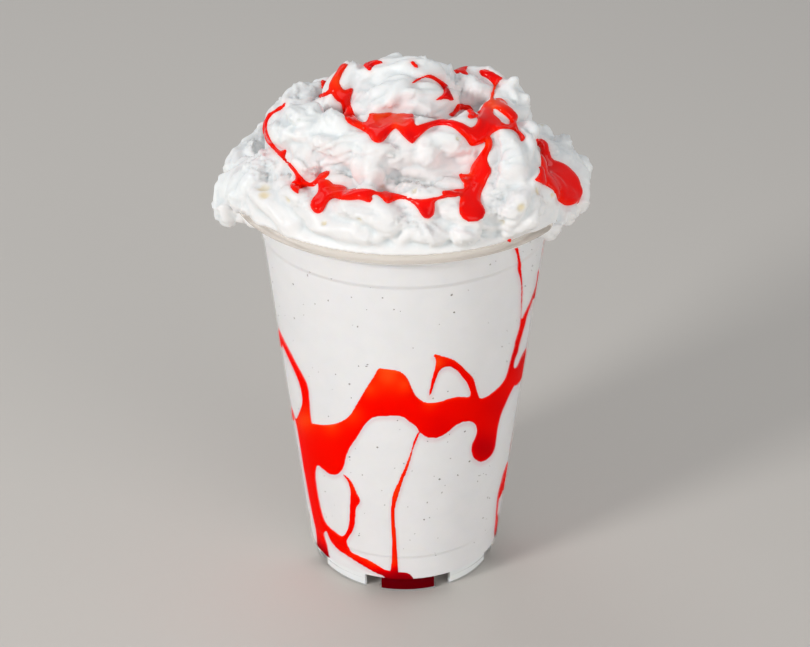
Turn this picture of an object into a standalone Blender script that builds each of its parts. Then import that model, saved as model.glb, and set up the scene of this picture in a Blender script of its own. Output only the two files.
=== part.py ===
"""A milkshake in a clear disposable cup, with whipped cream and red syrup.

Three solids stand in one frame: the cup, the shake that fills it with the syrup that
runs down inside its wall, and the heap of whipped cream with its drizzle of syrup.
Metres, +Z up, origin at the middle of the cup's foot. The side with the syrup faces -Y.
"""

import math

import bmesh
import bpy
import numpy as np
from mathutils import Vector, noise
from mathutils.bvhtree import BVHTree

MM = 0.001

# Cup
SIDES = 48
WALL = 0.8 * MM
GAP = 0.3 * MM
RIM_RADIUS = 49.0 * MM
RIM_HEIGHT = 124.0 * MM
CURL = 1.4 * MM
NECK_RADIUS = 42.8 * MM
NECK_HEIGHT = 118.6 * MM
RING_RADIUS = 41.2 * MM
RING_HEIGHT = 110.0 * MM
RING_STEP = 0.5 * MM
RING_TOP = RING_HEIGHT + 1.0 * MM
STEP_RADIUS = 30.2 * MM
STEP_HEIGHT = 13.7 * MM
STEP_TOP = STEP_HEIGHT + 1.2 * MM
BODY_RADIUS = 29.5 * MM
BODY_HEIGHT = 4.8 * MM
FOOT_RADIUS = 27.8 * MM
FOOT_WIDTH = 2.2 * MM
BASE_HEIGHT = 3.6 * MM
NOTCHES = 8
NOTCH_TURN = math.radians(25)
NOTCH_WIDTH = 4.4 * MM
NOTCH_HEIGHT = 2.4 * MM

# Shake
SHAKE_LEVEL = 120.6 * MM
SHAKE_GAP = 0.6 * MM
SYRUP_PROUD = 0.28 * MM
SYRUP_SUNK = 1.0 * MM

# Whipped cream: each rope of cream is piped through a star nozzle, so it has petals
CREAM_BOTTOM = SHAKE_LEVEL + GAP
CREAM_VOXEL = 1.25 * MM
CREAM_TRIANGLES = 3600
PETALS = 5
PETAL_DEPTH = 0.16
PETAL_PITCH = 70.0 * MM
# Left alone, the noise starts from the time of day, and each build gives another solid
NOISE_SEED = 3
CRUMPLE = 0.95
CRUMPLE_LENGTH = 14.0 * MM
CRUMPLE_ROUND = 9.0 * MM
# The two rings and the heart they lie on are in millimetres
LOWER_RING = dict(
    across=43.2, deep=38.6, shift=0.0, middle=0.0, height=127.8, tilt=-0.06, sag=4.0, thick=7.9,
)
UPPER_RING = dict(
    across=29.0, deep=21.5, shift=-1.5, middle=-4.5, height=142.0, tilt=-0.12, sag=0.0, thick=7.3,
)
HEART = [(0, 121), (41.0, 121), (41.8, 124), (38, 129), (31, 135), (22, 143), (12, 149), (0, 151)]
# Each fold is a run of points in millimetres: right, back, up, thickness
FOLDS = {
    "crown_front": [(-12, -9, 149, 5.0), (-4, -13, 151.5, 6.4), (5, -12, 151.5, 6.4), (12, -7, 149, 5.0)],
    "crown_middle": [(-13, -1, 151.5, 5.5), (-4, -4, 154, 6.4), (4, -3, 154, 6.4), (12, 2, 150, 5.5)],
    "crown_back": [(-10, 7, 149, 5.5), (0, 6, 151.5, 6.2), (9, 8, 149, 5.5)],
    "crown_left": [(-19, -5, 147, 4.2), (-18, -3, 152.5, 4.6), (-13, 0, 157, 3.6)],
    "right_top": [(10, 6, 146, 7.0), (19, 4, 147, 7.6), (26, 3, 145.5, 6.6)],
    "right_edge": [(25, 8, 149, 3.2), (29, 3, 149, 3.8), (31, -1, 144, 4.2), (30, -6, 141, 4.4)],
    "right_fall": [(26.5, -10, 142, 6.6), (29.5, -22, 141, 7.8), (29.5, -32, 134, 8.2),
                   (28, -38, 128.5, 6.5)],
    "left_shoulder": [(-20, 11, 138.5, 7.0), (-30, 3, 140.5, 7.2), (-29.5, -10, 142, 7.0),
                      (-21, -20, 142, 6.2)],
    "left_tongue": [(-41, -4, 129, 5.4), (-46.5, -9, 126, 5.0), (-48.6, -12, 121, 3.8),
                    (-48.6, -14, 117.5, 2.2)],
    "left_fan": [(-36, -14, 134, 5.6), (-42, -17, 130.5, 5.6), (-44.5, -20, 126, 4.8)],
    "right_cup": [(38, 6, 128, 5.0), (43.5, 0, 129.5, 5.2), (47.0, -8, 126.5, 5.0), (47.6, -14, 121.5, 3.4)],
    "right_spike": [(28, 3, 149, 3.6), (31.3, 3, 153.6, 1.3)],
    "right_horn": [(29, 0, 147.5, 3.6), (34.6, 0, 149.2, 1.3)],
    "left_peak": [(-23, -1, 145, 4.4), (-21.5, -2.5, 150.0, 1.6)],
    "front_peak": [(-3, -23, 146, 4.0), (-2.6, -25.5, 151.0, 1.4)],
    "front_tongue": [(-8, -28, 144, 5.0), (-8, -33, 140.5, 4.2), (-7.5, -35, 138, 2.4)],
    "left_foot": [(-25, -21, 141, 5.0), (-27.5, -27, 138, 3.6)],
    "front_ridge": [(-2, -42.5, 134, 2.6), (-5, -44.5, 130, 2.6), (-9, -45, 126, 2.0)],
    "front_groove_side": [(5, -43, 134, 2.8), (2, -45, 130, 2.6), (-2, -45.5, 126, 2.0)],
    "front_swirl": [(8, -41, 134, 2.6), (14, -43, 133.5, 3.0), (18, -43, 130, 3.0), (14, -45, 127, 2.4)],
    "front_shelf": [(-22, -29, 131, 6.4), (0, -33, 131.5, 6.4), (20, -30, 131, 6.4)],
    "front_recess": [(-24, -20, 136.5, 6.0), (-9, -25, 137, 6.4), (9, -25, 137, 6.4), (24, -20, 136.5, 6.0)],
}

# The syrup's runs are drawn as seen from one eye point in front of the cup. Each point is
# right and down in the picture's units, with the run's width in millimetres.
EYE = Vector((0.3, -497.0, 348.0)) * MM
EYE_PITCH = math.radians(28.56)
EYE_LENGTH = 1912.0
PICTURE_MIDDLE = (405.0, 323.5)
DRIZZLE_PROUD = 0.5
DRIZZLE_MOST = 1.6 * MM
DRIZZLE_SUNK = 1.6 * MM
DRIZZLE_STEP = 4.4 * MM
FOLD_JUMP = 4.0 * MM
WALL_STEP = 6.2 * MM
BACK_STEPS = 2
# How high a bead's edges stand, as a share of its middle: flat on the wall, round on the cream
FLAT_EDGE = 0.95
ROUND_EDGE = 0.15
CREAM_SYRUP = {
    "crown_left": [(347, 67, 2.0), (333, 80, 2.6), (338, 95, 5.0), (345, 108, 3.2), (358, 126, 4.0),
                   (376, 130, 6.5), (396, 124, 6.5), (412, 133, 5.0), (428, 127, 3.0), (446, 122, 2.6),
                   (464, 126, 3.2), (475, 134, 4.6), (490, 122, 6.0), (499, 108, 4.4), (513, 118, 2.6),
                   (522, 136, 2.0)],
    "crown_tail": [(321, 96, 1.6), (334, 93, 3.0)],
    "crown_cap": [(364, 64, 2.4), (380, 65, 2.4)],
    "crown_right": [(413, 84, 1.2), (428, 77, 1.6), (442, 84, 1.8), (453, 100, 1.6)],
    "crown_hook": [(451, 114, 1.6), (460, 107, 1.8), (475, 114, 1.8)],
    "right_top": [(481, 72, 2.4), (498, 80, 3.2), (494, 99, 2.0)],
    "left_loop": [(289, 98, 1.2), (276, 110, 1.6), (266, 122, 2.0), (268, 137, 2.0), (281, 156, 2.6),
                  (297, 176, 2.2), (297, 187, 2.8), (312, 184, 2.4), (328, 173, 1.4)],
    "left_drop": [(322, 184, 3.6), (319, 194, 3.8), (316, 204, 3.8)],
    "front_band": [(324, 187, 3.2), (342, 192, 2.6), (362, 195, 2.4), (384, 196, 3.0), (404, 199, 3.0),
                   (428, 203, 4.0), (450, 198, 2.0), (468, 196, 3.6)],
    "front_lobe": [(424, 201, 4.4), (427, 212, 4.4)],
    "right_fall": [(489, 140, 2.4), (483, 156, 3.4), (481, 172, 4.8), (474, 188, 5.6), (470, 203, 5.4),
                   (474, 216, 4.8)],
    "right_pool": [(539, 140, 2.0), (544, 158, 2.8), (552, 172, 6.5), (566, 186, 9.0), (572, 196, 7.0)],
}
# The same as seen from a point straight behind the cup, at the eye's height and distance
BACK_SYRUP = {
    "back_crown": [(352, 84, 1.8), (340, 100, 3.2), (354, 118, 4.2), (380, 127, 5.0), (410, 121, 3.4),
                   (440, 128, 4.6), (470, 120, 3.2), (486, 102, 1.8)],
    "back_fall": [(440, 128, 3.2), (452, 148, 3.2), (452, 170, 4.4), (450, 190, 4.6), (452, 206, 4.4)],
    "back_low": [(284, 148, 1.4), (296, 170, 2.4), (318, 185, 3.6), (350, 190, 4.4), (384, 185, 2.8),
                 (418, 191, 3.4), (450, 189, 4.2), (482, 177, 2.4), (505, 158, 1.4)],
    "back_drop": [(350, 190, 4.2), (350, 207, 4.4)],
}
WALL_RUNS = {
    "far_left_streak": [(293, 400, 1.4), (297, 418, 2.0), (302, 440, 3.0)],
    "rim_drip": [(516, 250, 1.0), (521, 280, 1.4), (521, 318, 1.4), (520, 346, 2.4)],
    "right_diagonal": [(535, 278, 1.0), (529, 302, 2.0), (522, 330, 3.0), (516, 352, 4.0)],
    "hook": [(435, 361, 1.6), (448, 363, 2.6), (461, 373, 2.4), (472, 392, 2.4), (476, 404, 3.0)],
    "hook_drip": [(437, 362, 1.6), (434, 376, 1.2), (430, 394, 1.2)],
    "middle_drip": [(417, 432, 2.0), (407, 462, 1.2), (394, 498, 1.6), (393, 540, 1.4), (394, 567, 1.8)],
    "left_branch": [(343, 474, 1.4), (354, 492, 2.4), (352, 514, 2.0), (347, 538, 2.0)],
    "low_diagonal": [(324, 520, 2.6), (338, 540, 3.4), (362, 556, 2.8), (386, 566, 2.8)],
    "low_right": [(503, 466, 1.2), (499, 490, 2.0), (496, 516, 1.2), (494, 532, 1.0)],
}
# The outline of the wide band, with the streak and the column at its left and its thick drip
BAND_OUTLINE = [
    (288, 350), (298, 368), (305, 382), (310, 395), (311, 409), (315, 423), (328, 425), (344, 419),
    (354, 406), (364, 389), (372, 374), (380, 368), (392, 368), (402, 372), (408, 380), (414, 392),
    (422, 400), (433, 403), (451, 398), (468, 396), (480, 398), (490, 394), (501, 384), (508, 370),
    (514, 353), (518, 338), (521, 348), (522, 362), (517, 376), (509, 392), (500, 416), (495, 441),
    (492, 455), (485, 462), (477, 459), (471, 449), (472, 439), (476, 429), (472, 423), (462, 422),
    (451, 427), (442, 435), (431, 438), (419, 434), (412, 425), (402, 419), (388, 416), (372, 418),
    (362, 425), (353, 441), (346, 459), (341, 471), (333, 474), (325, 471), (317, 465), (317, 480),
    (319, 498), (325, 521), (328, 539), (331, 548), (326, 548), (321, 538), (316, 524), (311, 502),
    (305, 470), (300, 440), (297, 424), (302, 402), (300, 387), (293, 370),
]
# The width, in the picture's units, of the upright strips that let the band bend with the wall
BAND_STRIP = 20.0
# The syrup's runs round the back of the wall. Each point is a turn in degrees, and a height and
# a width in millimetres
BACK_RUNS = {
    "back_band": [(-18, 67, 6.0), (-4, 66, 8.0), (12, 65, 8.5), (30, 68, 7.5), (54, 76, 6.0), (82, 68, 8.5),
                  (110, 75, 6.5), (140, 63, 8.0), (166, 69, 5.5), (188, 75.5, 4.5)],
    "back_drip": [(80, 66, 4.5), (81, 48, 2.6), (78, 34, 2.0), (79, 22, 2.4)],
    "back_right_drip": [(22, 66, 4.2), (24, 54, 2.0), (22, 42, 2.6)],
    "back_right_streak": [(-9, 92.5, 5.0), (4, 97, 3.8), (16, 104, 2.6), (26, 115, 1.4)],
    "back_right_low": [(-15, 25, 5.0), (4, 28, 4.6), (15, 35, 3.0), (22, 44, 2.4)],
    "back_left_low": [(188, 49.5, 3.4), (176, 45, 2.6), (160, 40, 2.2), (143, 38, 2.4)],
    "back_left_drip": [(140, 60, 4.6), (142, 44, 3.0), (139, 24, 2.0), (141, 12, 2.2)],
    "back_streak": [(118, 100, 1.2), (116, 88, 2.2), (111, 77, 3.2)],
}


def clear_scene():
    for obj in list(bpy.data.objects):
        bpy.data.objects.remove(obj)


def material(name, colour, roughness, alpha=1.0, transmission=0.0):
    made = bpy.data.materials.new(name)
    made.use_nodes = True
    shader = made.node_tree.nodes["Principled BSDF"]
    shader.inputs["Base Color"].default_value = (*colour, 1.0)
    shader.inputs["Roughness"].default_value = roughness
    shader.inputs["Alpha"].default_value = alpha
    shader.inputs["Transmission Weight"].default_value = transmission
    made.diffuse_color = (*colour, alpha)
    return made


def add_object(name, mesh, *materials):
    obj = bpy.data.objects.new(name, mesh)
    bpy.context.scene.collection.objects.link(obj)
    for each in materials:
        mesh.materials.append(each)
    return obj


def add_helper(name, mesh):
    """A guide or cutter, which is no part of the object."""
    obj = add_object(name, mesh)
    obj.hide_render = True
    obj.display_type = "WIRE"
    return obj


def applied(obj):
    """Puts the result of the object's modifiers into its mesh."""
    graph = bpy.context.evaluated_depsgraph_get()
    mesh = bpy.data.meshes.new_from_object(obj.evaluated_get(graph))
    obj.modifiers.clear()
    obj.data = mesh
    return obj


def keep_main_skin(obj):
    """Drops loose scraps, and fills sealed hollows by dropping their inner skins."""
    bm = bmesh.new()
    bm.from_mesh(obj.data)
    left = set(bm.verts)
    skins = []
    while left:
        reached = [left.pop()]
        skin = list(reached)
        while reached:
            for edge in reached.pop().link_edges:
                for vert in edge.verts:
                    if vert in left:
                        left.remove(vert)
                        reached.append(vert)
                        skin.append(vert)
        skins.append(skin)
    skins.sort(key=len)
    for skin in skins[:-1]:
        bmesh.ops.delete(bm, geom=skin, context="VERTS")
    bm.to_mesh(obj.data)
    bm.free()


def turned_mesh(name, profile, sides=SIDES):
    """A closed mesh from a profile turned round +Z. In the right half of the XZ plane the profile runs
    up its outer side, and down its inner side or along the axis."""
    bm = bmesh.new()
    angles = [2 * math.pi * k / sides for k in range(sides)]
    rings = []
    for radius, height in profile:
        if radius < 1e-6:
            rings.append([bm.verts.new((0, 0, height))] * sides)
        else:
            places = [(radius * math.cos(a), radius * math.sin(a), height) for a in angles]
            rings.append([bm.verts.new(place) for place in places])
    for lower, upper in zip(rings, rings[1:] + rings[:1]):
        for k in range(sides):
            corners = [lower[k], lower[(k + 1) % sides], upper[(k + 1) % sides], upper[k]]
            corners = list(dict.fromkeys(corners))
            if len(corners) > 2:
                bm.faces.new(corners)
    mesh = bpy.data.meshes.new(name)
    bmesh.ops.recalc_face_normals(bm, faces=bm.faces)
    bm.to_mesh(mesh)
    bm.free()
    return mesh


def wall_radius(height):
    """The cup's outer radius at a height between the body's bottom and the neck."""
    heights = [BODY_HEIGHT, STEP_HEIGHT, STEP_TOP, RING_HEIGHT, RING_TOP, NECK_HEIGHT]
    radii = [BODY_RADIUS, STEP_RADIUS, STEP_RADIUS + RING_STEP, RING_RADIUS]
    radii += [RING_RADIUS + RING_STEP, NECK_RADIUS]
    return float(np.interp(height, heights, radii))


def lip_profile(grow=0.0):
    """The flared lip and its rolled edge, from the neck's outside over the top to the neck's inside."""
    middle = (RIM_RADIUS - CURL, RIM_HEIGHT - CURL)
    curl = CURL + grow
    points = [(NECK_RADIUS + grow, NECK_HEIGHT + 0.2 * MM - grow)]
    for degrees in (-60, -15, 30, 75, 120):
        turn = math.radians(degrees)
        points.append((middle[0] + curl * math.cos(turn), middle[1] + curl * math.sin(turn)))
    points.append((NECK_RADIUS + 1.6 * MM - grow, NECK_HEIGHT + 2.0 * MM + grow))
    points.append((NECK_RADIUS - WALL - grow, NECK_HEIGHT + grow))
    return points


def cup_profile():
    outer = [
        (FOOT_RADIUS - 0.5 * MM, 0.0),
        (FOOT_RADIUS, 0.5 * MM),
        (FOOT_RADIUS, BODY_HEIGHT - 1.2 * MM),
        (BODY_RADIUS - 0.6 * MM, BODY_HEIGHT - 0.5 * MM),
        (BODY_RADIUS, BODY_HEIGHT + 0.6 * MM),
    ]
    steps = (STEP_HEIGHT, STEP_TOP, RING_HEIGHT, RING_TOP)
    outer += [(wall_radius(h), h) for h in steps]
    inner = [(wall_radius(h) - WALL, h) for h in reversed(steps)]
    inner += [(BODY_RADIUS - WALL, BODY_HEIGHT + 0.8 * MM), (0.0, BODY_HEIGHT + 0.8 * MM)]
    under = [(0.0, BASE_HEIGHT), (FOOT_RADIUS - FOOT_WIDTH, BASE_HEIGHT), (FOOT_RADIUS - FOOT_WIDTH, 0.0)]
    return outer + lip_profile() + inner + under


def notch_cutter():
    """Small blocks that leave the foot ring standing on separate lugs."""
    bm = bmesh.new()
    for k in range(NOTCHES):
        turn = 2 * math.pi * k / NOTCHES + NOTCH_TURN
        made = bmesh.ops.create_cube(bm, size=1.0)["verts"]
        bmesh.ops.scale(bm, vec=(3 * FOOT_WIDTH, NOTCH_WIDTH, 2 * NOTCH_HEIGHT), verts=made)
        bmesh.ops.translate(bm, vec=(FOOT_RADIUS - FOOT_WIDTH / 2, 0, 0), verts=made)
        turning = ((math.cos(turn), -math.sin(turn), 0), (math.sin(turn), math.cos(turn), 0), (0, 0, 1))
        for vert in made:
            vert.co = Vector([sum(row[i] * vert.co[i] for i in range(3)) for row in turning])
    mesh = bpy.data.meshes.new("notches")
    bm.to_mesh(mesh)
    bm.free()
    return add_helper("notch_cutter", mesh)


def make_cup():
    clear = material("clear_plastic", (0.93, 0.95, 0.95), 0.08, alpha=0.3, transmission=0.9)
    cup = add_object("cup", turned_mesh("cup", cup_profile()), clear)
    cut = cup.modifiers.new("foot_notches", "BOOLEAN")
    cut.operation = "DIFFERENCE"
    cut.object = notch_cutter()
    cup.data.shade_smooth()
    cup.data.set_sharp_from_angle(angle=math.radians(35))
    return cup


def shake_radius(height):
    return wall_radius(height) - WALL - SHAKE_GAP


def shake_profile():
    bottom = BODY_HEIGHT + 0.8 * MM + SHAKE_GAP
    edge = 0.3 * MM
    heights = (bottom + edge, STEP_HEIGHT, STEP_TOP, 45 * MM, 78 * MM, RING_HEIGHT, RING_TOP, NECK_HEIGHT)
    side = [(shake_radius(h), h) for h in heights]
    under = [(0.0, bottom), (side[0][0] - 2 * edge, bottom)]
    return under + side + [(side[-1][0], SHAKE_LEVEL), (0.0, SHAKE_LEVEL)]


def half_turned(place):
    """A place or direction turned half round the cup's axis."""
    return Vector((-place.x, -place.y, place.z))


def skin_tree(mesh, placed=Vector):
    """The mesh's faces, to find where a line of sight meets them."""
    return BVHTree.FromPolygons([placed(v.co) for v in mesh.vertices], [p.vertices for p in mesh.polygons])


def sight(right, down):
    """The direction from the eye point through a point of the picture."""
    forward = Vector((0, math.cos(EYE_PITCH), -math.sin(EYE_PITCH)))
    upward = Vector((0, math.sin(EYE_PITCH), math.cos(EYE_PITCH)))
    across = Vector((1, 0, 0))
    return (forward * EYE_LENGTH + across * (right - PICTURE_MIDDLE[0])
            - upward * (down - PICTURE_MIDDLE[1])).normalized()


def smooth_run(points, steps):
    """Catmull-Rom curve through rows of numbers, with a number of steps between each two."""
    rows = np.array(points, float)
    padded = np.vstack([2 * rows[0] - rows[1], rows, 2 * rows[-1] - rows[-2]])
    made = []
    for k in range(1, len(padded) - 2):
        a, b, c, d = padded[k - 1:k + 3]
        for t in np.linspace(0, 1, steps, endpoint=False):
            made.append(0.5 * (2 * b + (c - a) * t + (2 * a - 5 * b + 4 * c - d) * t * t
                               + (3 * b - a - 3 * c + d) * t ** 3))
    made.append(rows[-1])
    return np.array(made)


def thrown_runs(run, surface, step):
    """The run's points on the surface as the eye sees them, about a step apart, with their widths. The run
    is parted where it jumps from one fold to another that lies behind it."""
    parts = [[]]
    for right, down, width in smooth_run(run, 8):
        place, normal, _, _ = surface.ray_cast(EYE, sight(right, down))
        if place is None:
            continue
        if parts[-1] and (place - parts[-1][-1][0]).length > FOLD_JUMP:
            parts.append([])
        parts[-1].append((place, normal, width * MM))
    return [thinned_run(part, step) for part in parts if len(part) > 2]


def thinned_run(hits, step):
    """Three or more of a run's points, about a step apart, with both its ends."""
    found = [hits[0]]
    for hit in hits[1:-1]:
        if (hit[0] - found[-1][0]).length > step and (hit[0] - hits[-1][0]).length > step / 2:
            found.append(hit)
    if len(found) == 1:
        found.append(hits[len(hits) // 2])
    return found + [hits[-1]]


def bead_mesh(name, found, proud, most, sunk, wrap=None):
    """A closed bead along places on a surface. It stands proud by a share of its width, up to the most."""
    bm = bmesh.new()
    rings = []
    edge = FLAT_EDGE if wrap else ROUND_EDGE
    shape = ((-0.8, -1), (0.8, -1), (1, edge), (0, 1), (-1, edge))
    last = len(found) - 1
    for k, (place, _, width) in enumerate(found):
        along = (found[min(k + 1, last)][0] - found[max(k - 1, 0)][0]).normalized()
        near = [found[j][1] for j in range(max(k - 2, 0), min(k + 3, last + 1))]
        normal = sum(near, Vector((0, 0, 0))).normalized()
        side = along.cross(normal).normalized()
        normal = side.cross(along).normalized()
        half = width / 2 * (0.65 if k in (0, last) else 1.0)
        ring = []
        for across, up in shape:
            rise = up * min(proud * width, most) if up > 0 else up * sunk
            point = place + side * across * half
            if wrap:
                point = wrap(point, rise)
            else:
                point = point + normal * rise
            ring.append(bm.verts.new(point))
        rings.append(ring)
    count = len(shape)
    for first, second in zip(rings, rings[1:]):
        for k in range(count):
            bm.faces.new((first[k], first[(k + 1) % count], second[(k + 1) % count], second[k]))
    bm.faces.new(rings[0])
    bm.faces.new(rings[-1])
    bmesh.ops.triangulate(bm, faces=bm.faces)
    bmesh.ops.recalc_face_normals(bm, faces=bm.faces)
    mesh = bpy.data.meshes.new(name)
    bm.to_mesh(mesh)
    bm.free()
    return mesh


def fuse(obj, meshes, look, solver="EXACT"):
    """Joins solids to an object by one Boolean union on a collection, and removes the collection's
    objects. On the cream the exact solver leaves edges that four faces share, so it takes MANIFOLD."""
    joined = bpy.data.collections.new(obj.name + "_added")
    bpy.context.scene.collection.children.link(joined)
    for mesh in meshes:
        mesh.materials.append(look)
        added = bpy.data.objects.new(mesh.name, mesh)
        joined.objects.link(added)
    union = obj.modifiers.new("fused", "BOOLEAN")
    union.operation = "UNION"
    union.operand_type = "COLLECTION"
    union.collection = joined
    union.solver = solver
    union.material_mode = "TRANSFER"
    applied(obj)
    for added in list(joined.objects):
        bpy.data.objects.remove(added)
    bpy.data.collections.remove(joined)
    keep_main_skin(obj)
    return obj


def on_wall(place, rise):
    """A place pushed onto the shake's side at its own height and turn, standing out by the rise."""
    height = min(max(place.z, BODY_HEIGHT + 3 * MM), NECK_HEIGHT)
    radius = shake_radius(height) + rise
    turn = math.atan2(place.y, place.x)
    return Vector((radius * math.cos(turn), radius * math.sin(turn), height))


def seen_on_wall(right, down, surface):
    """Where the eye sees a point of the picture on the wall. One past the wall's edge is moved in to it."""
    place = None
    while place is None:
        place = surface.ray_cast(EYE, sight(right, down))[0]
        right += math.copysign(0.5, PICTURE_MIDDLE[0] - right)
    return place


def skin_mesh(name, outline, surface):
    """A closed skin of syrup on the wall inside an outline. Upright cuts let it bend with the wall."""
    flat = bmesh.new()
    whole = flat.faces.new([flat.verts.new((right, down, 0)) for right, down in outline])
    whole.normal_update()
    bmesh.ops.triangulate(flat, faces=[whole])
    cut = min(right for right, _ in outline) + BAND_STRIP
    while cut < max(right for right, _ in outline):
        parts = flat.verts[:] + flat.edges[:] + flat.faces[:]
        bmesh.ops.bisect_plane(flat, geom=parts, plane_co=(cut, 0, 0), plane_no=(1, 0, 0))
        cut += BAND_STRIP
    flat.verts.index_update()
    places = [seen_on_wall(vert.co.x, vert.co.y, surface) for vert in flat.verts]
    bm = bmesh.new()
    outer = [bm.verts.new(on_wall(place, SYRUP_PROUD)) for place in places]
    inner = [bm.verts.new(on_wall(place, -SYRUP_SUNK)) for place in places]
    for face in flat.faces:
        bm.faces.new([outer[vert.index] for vert in face.verts])
        bm.faces.new([inner[vert.index] for vert in reversed(face.verts)])
    for edge in flat.edges:
        if edge.is_boundary:
            first, second = (vert.index for vert in edge.verts)
            bm.faces.new((outer[first], outer[second], inner[second], inner[first]))
    flat.free()
    bmesh.ops.triangulate(bm, faces=bm.faces)
    bmesh.ops.recalc_face_normals(bm, faces=bm.faces)
    mesh = bpy.data.meshes.new(name)
    bm.to_mesh(mesh)
    bm.free()
    return mesh


def back_run(run):
    """Places, outward directions and widths along a run given by turn, height and width."""
    found = []
    for turn, height, width in smooth_run(run, BACK_STEPS):
        outward = Vector((math.cos(math.radians(turn)), math.sin(math.radians(turn)), 0))
        place = outward * shake_radius(height * MM) + Vector((0, 0, height * MM))
        found.append((place, outward, width * MM))
    return found


def make_shake():
    off_white = material("shake", (0.86, 0.84, 0.80), 0.45)
    red = material("wall_syrup", (0.80, 0.01, 0.0), 0.2)
    shake = add_object("milkshake", turned_mesh("milkshake", shake_profile()), off_white)
    surface = skin_tree(shake.data)
    runs = {name: thrown_runs(run, surface, WALL_STEP) for name, run in WALL_RUNS.items()}
    runs.update({name: [back_run(run)] for name, run in BACK_RUNS.items()})
    solids = [skin_mesh("band", BAND_OUTLINE, surface)]
    for name, parts in runs.items():
        for found in parts:
            solids.append(bead_mesh(name, found, 1.0, SYRUP_PROUD, SYRUP_SUNK, wrap=on_wall))
    fuse(shake, solids, red)
    shake.data.shade_smooth()
    shake.data.set_sharp_from_angle(angle=math.radians(35))
    return shake


def ring_run(ring, points=40):
    """The closed middle line of a ring of piped cream, with its thickness, in millimetres."""
    made = []
    for k in range(points):
        turn = 2 * math.pi * k / points
        swell = 1 + 0.05 * math.sin(3 * turn + 0.7) + 0.04 * math.sin(7 * turn)
        deep = ring["middle"] + ring["deep"] * math.sin(turn)
        height = ring["height"] + ring["tilt"] * deep + 0.7 * math.sin(5 * turn + 1.3)
        height -= ring["sag"] * math.cos(turn) ** 2
        made.append((ring["shift"] + ring["across"] * math.cos(turn), deep, height, ring["thick"] * swell))
    return np.array(made)


def petal(angle):
    """How far a star nozzle's rope swells at an angle round it: round petals with sharp creases between."""
    return PETAL_DEPTH * (abs(math.sin(PETALS * angle / 2)) - 0.64)


def crumple(distance, angle, thick, seed):
    """How far a rope swells at a place on its skin: uneven round lumps with sharp creases between."""
    place = Vector((distance / CRUMPLE_LENGTH, thick * math.cos(angle) / CRUMPLE_ROUND,
                    thick * math.sin(angle) / CRUMPLE_ROUND))
    place += Vector((0, 0, 7.3 * seed))
    bent = place + 0.5 * noise.noise_vector(place * 0.7)
    return CRUMPLE * (min(abs(noise.noise(bent * 1.3)), 0.48) - 0.22)


def add_rope(bm, run, closed, seed, around=32):
    """Adds one closed rope of cream along a run of right, back, up and thickness."""
    places = run[:, :3] * MM
    thick = run[:, 3] * MM
    count = len(places)
    if closed:
        along = np.roll(places, -1, axis=0) - np.roll(places, 1, axis=0)
    else:
        along = np.gradient(places, axis=0)
    along /= np.linalg.norm(along, axis=1)[:, None]
    lengths = np.linalg.norm(np.diff(places, axis=0, append=places[:1] if closed else places[-1:]), axis=1)
    distance = np.concatenate([[0], np.cumsum(lengths)])
    whole = distance[-1]
    pitch = whole / round(whole / PETAL_PITCH) if closed else PETAL_PITCH
    side = np.cross(along[0], (0, 0, 1.0))
    if np.linalg.norm(side) < 0.2:
        side = np.cross(along[0], (0, 1.0, 0))
    rings = []
    for k in range(count):
        if closed:
            side = np.cross(along[k], (0, 0, 1.0))
        side = side - along[k] * np.dot(side, along[k])
        side /= np.linalg.norm(side)
        over = np.cross(side, along[k])
        turned = 2 * math.pi * distance[k] / pitch
        ring = []
        for j in range(around):
            angle = 2 * math.pi * j / around
            swell = petal(angle + turned) + crumple(distance[k], angle, thick[k], seed)
            radius = thick[k] * (1 + swell)
            ring.append(bm.verts.new(places[k] + radius * (math.cos(angle) * side + math.sin(angle) * over)))
        rings.append(ring)
    pairs = list(zip(rings, rings[1:] + rings[:1])) if closed else list(zip(rings, rings[1:]))
    for first, second in pairs:
        for j in range(around):
            bm.faces.new((first[j], first[(j + 1) % around], second[(j + 1) % around], second[j]))
    if closed:
        return
    for end, outward in ((0, -0.7), (-1, 0.7)):
        ring = rings[end]
        tip = bm.verts.new(places[end] + outward * thick[end] * along[end])
        for j in range(around):
            bm.faces.new((ring[j], ring[(j + 1) % around], tip))


def cream_mesh():
    noise.seed_set(NOISE_SEED)
    bm = bmesh.new()
    for seed, ring in enumerate((LOWER_RING, UPPER_RING)):
        add_rope(bm, ring_run(ring, 140), closed=True, seed=seed)
    for seed, points in enumerate(FOLDS.values()):
        add_rope(bm, smooth_run(points, 10), closed=False, seed=10 + seed)
    bm.from_mesh(turned_mesh("heart", [(r * MM, z * MM) for r, z in HEART]))
    bmesh.ops.recalc_face_normals(bm, faces=bm.faces)
    mesh = bpy.data.meshes.new("whipped_cream")
    bm.to_mesh(mesh)
    bm.free()
    return mesh


def cup_clearance():
    """The cup's lip and everything under the cream inside it, grown by the gap, as one turned cutter."""
    lip = lip_profile(GAP)
    below = [(0.0, 60 * MM), (60 * MM, 60 * MM), (60 * MM, 100 * MM), (NECK_RADIUS + GAP, 100 * MM)]
    inside = [(NECK_RADIUS - WALL - GAP, CREAM_BOTTOM), (0.0, CREAM_BOTTOM)]
    return turned_mesh("clearance", below + lip + inside)


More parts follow.
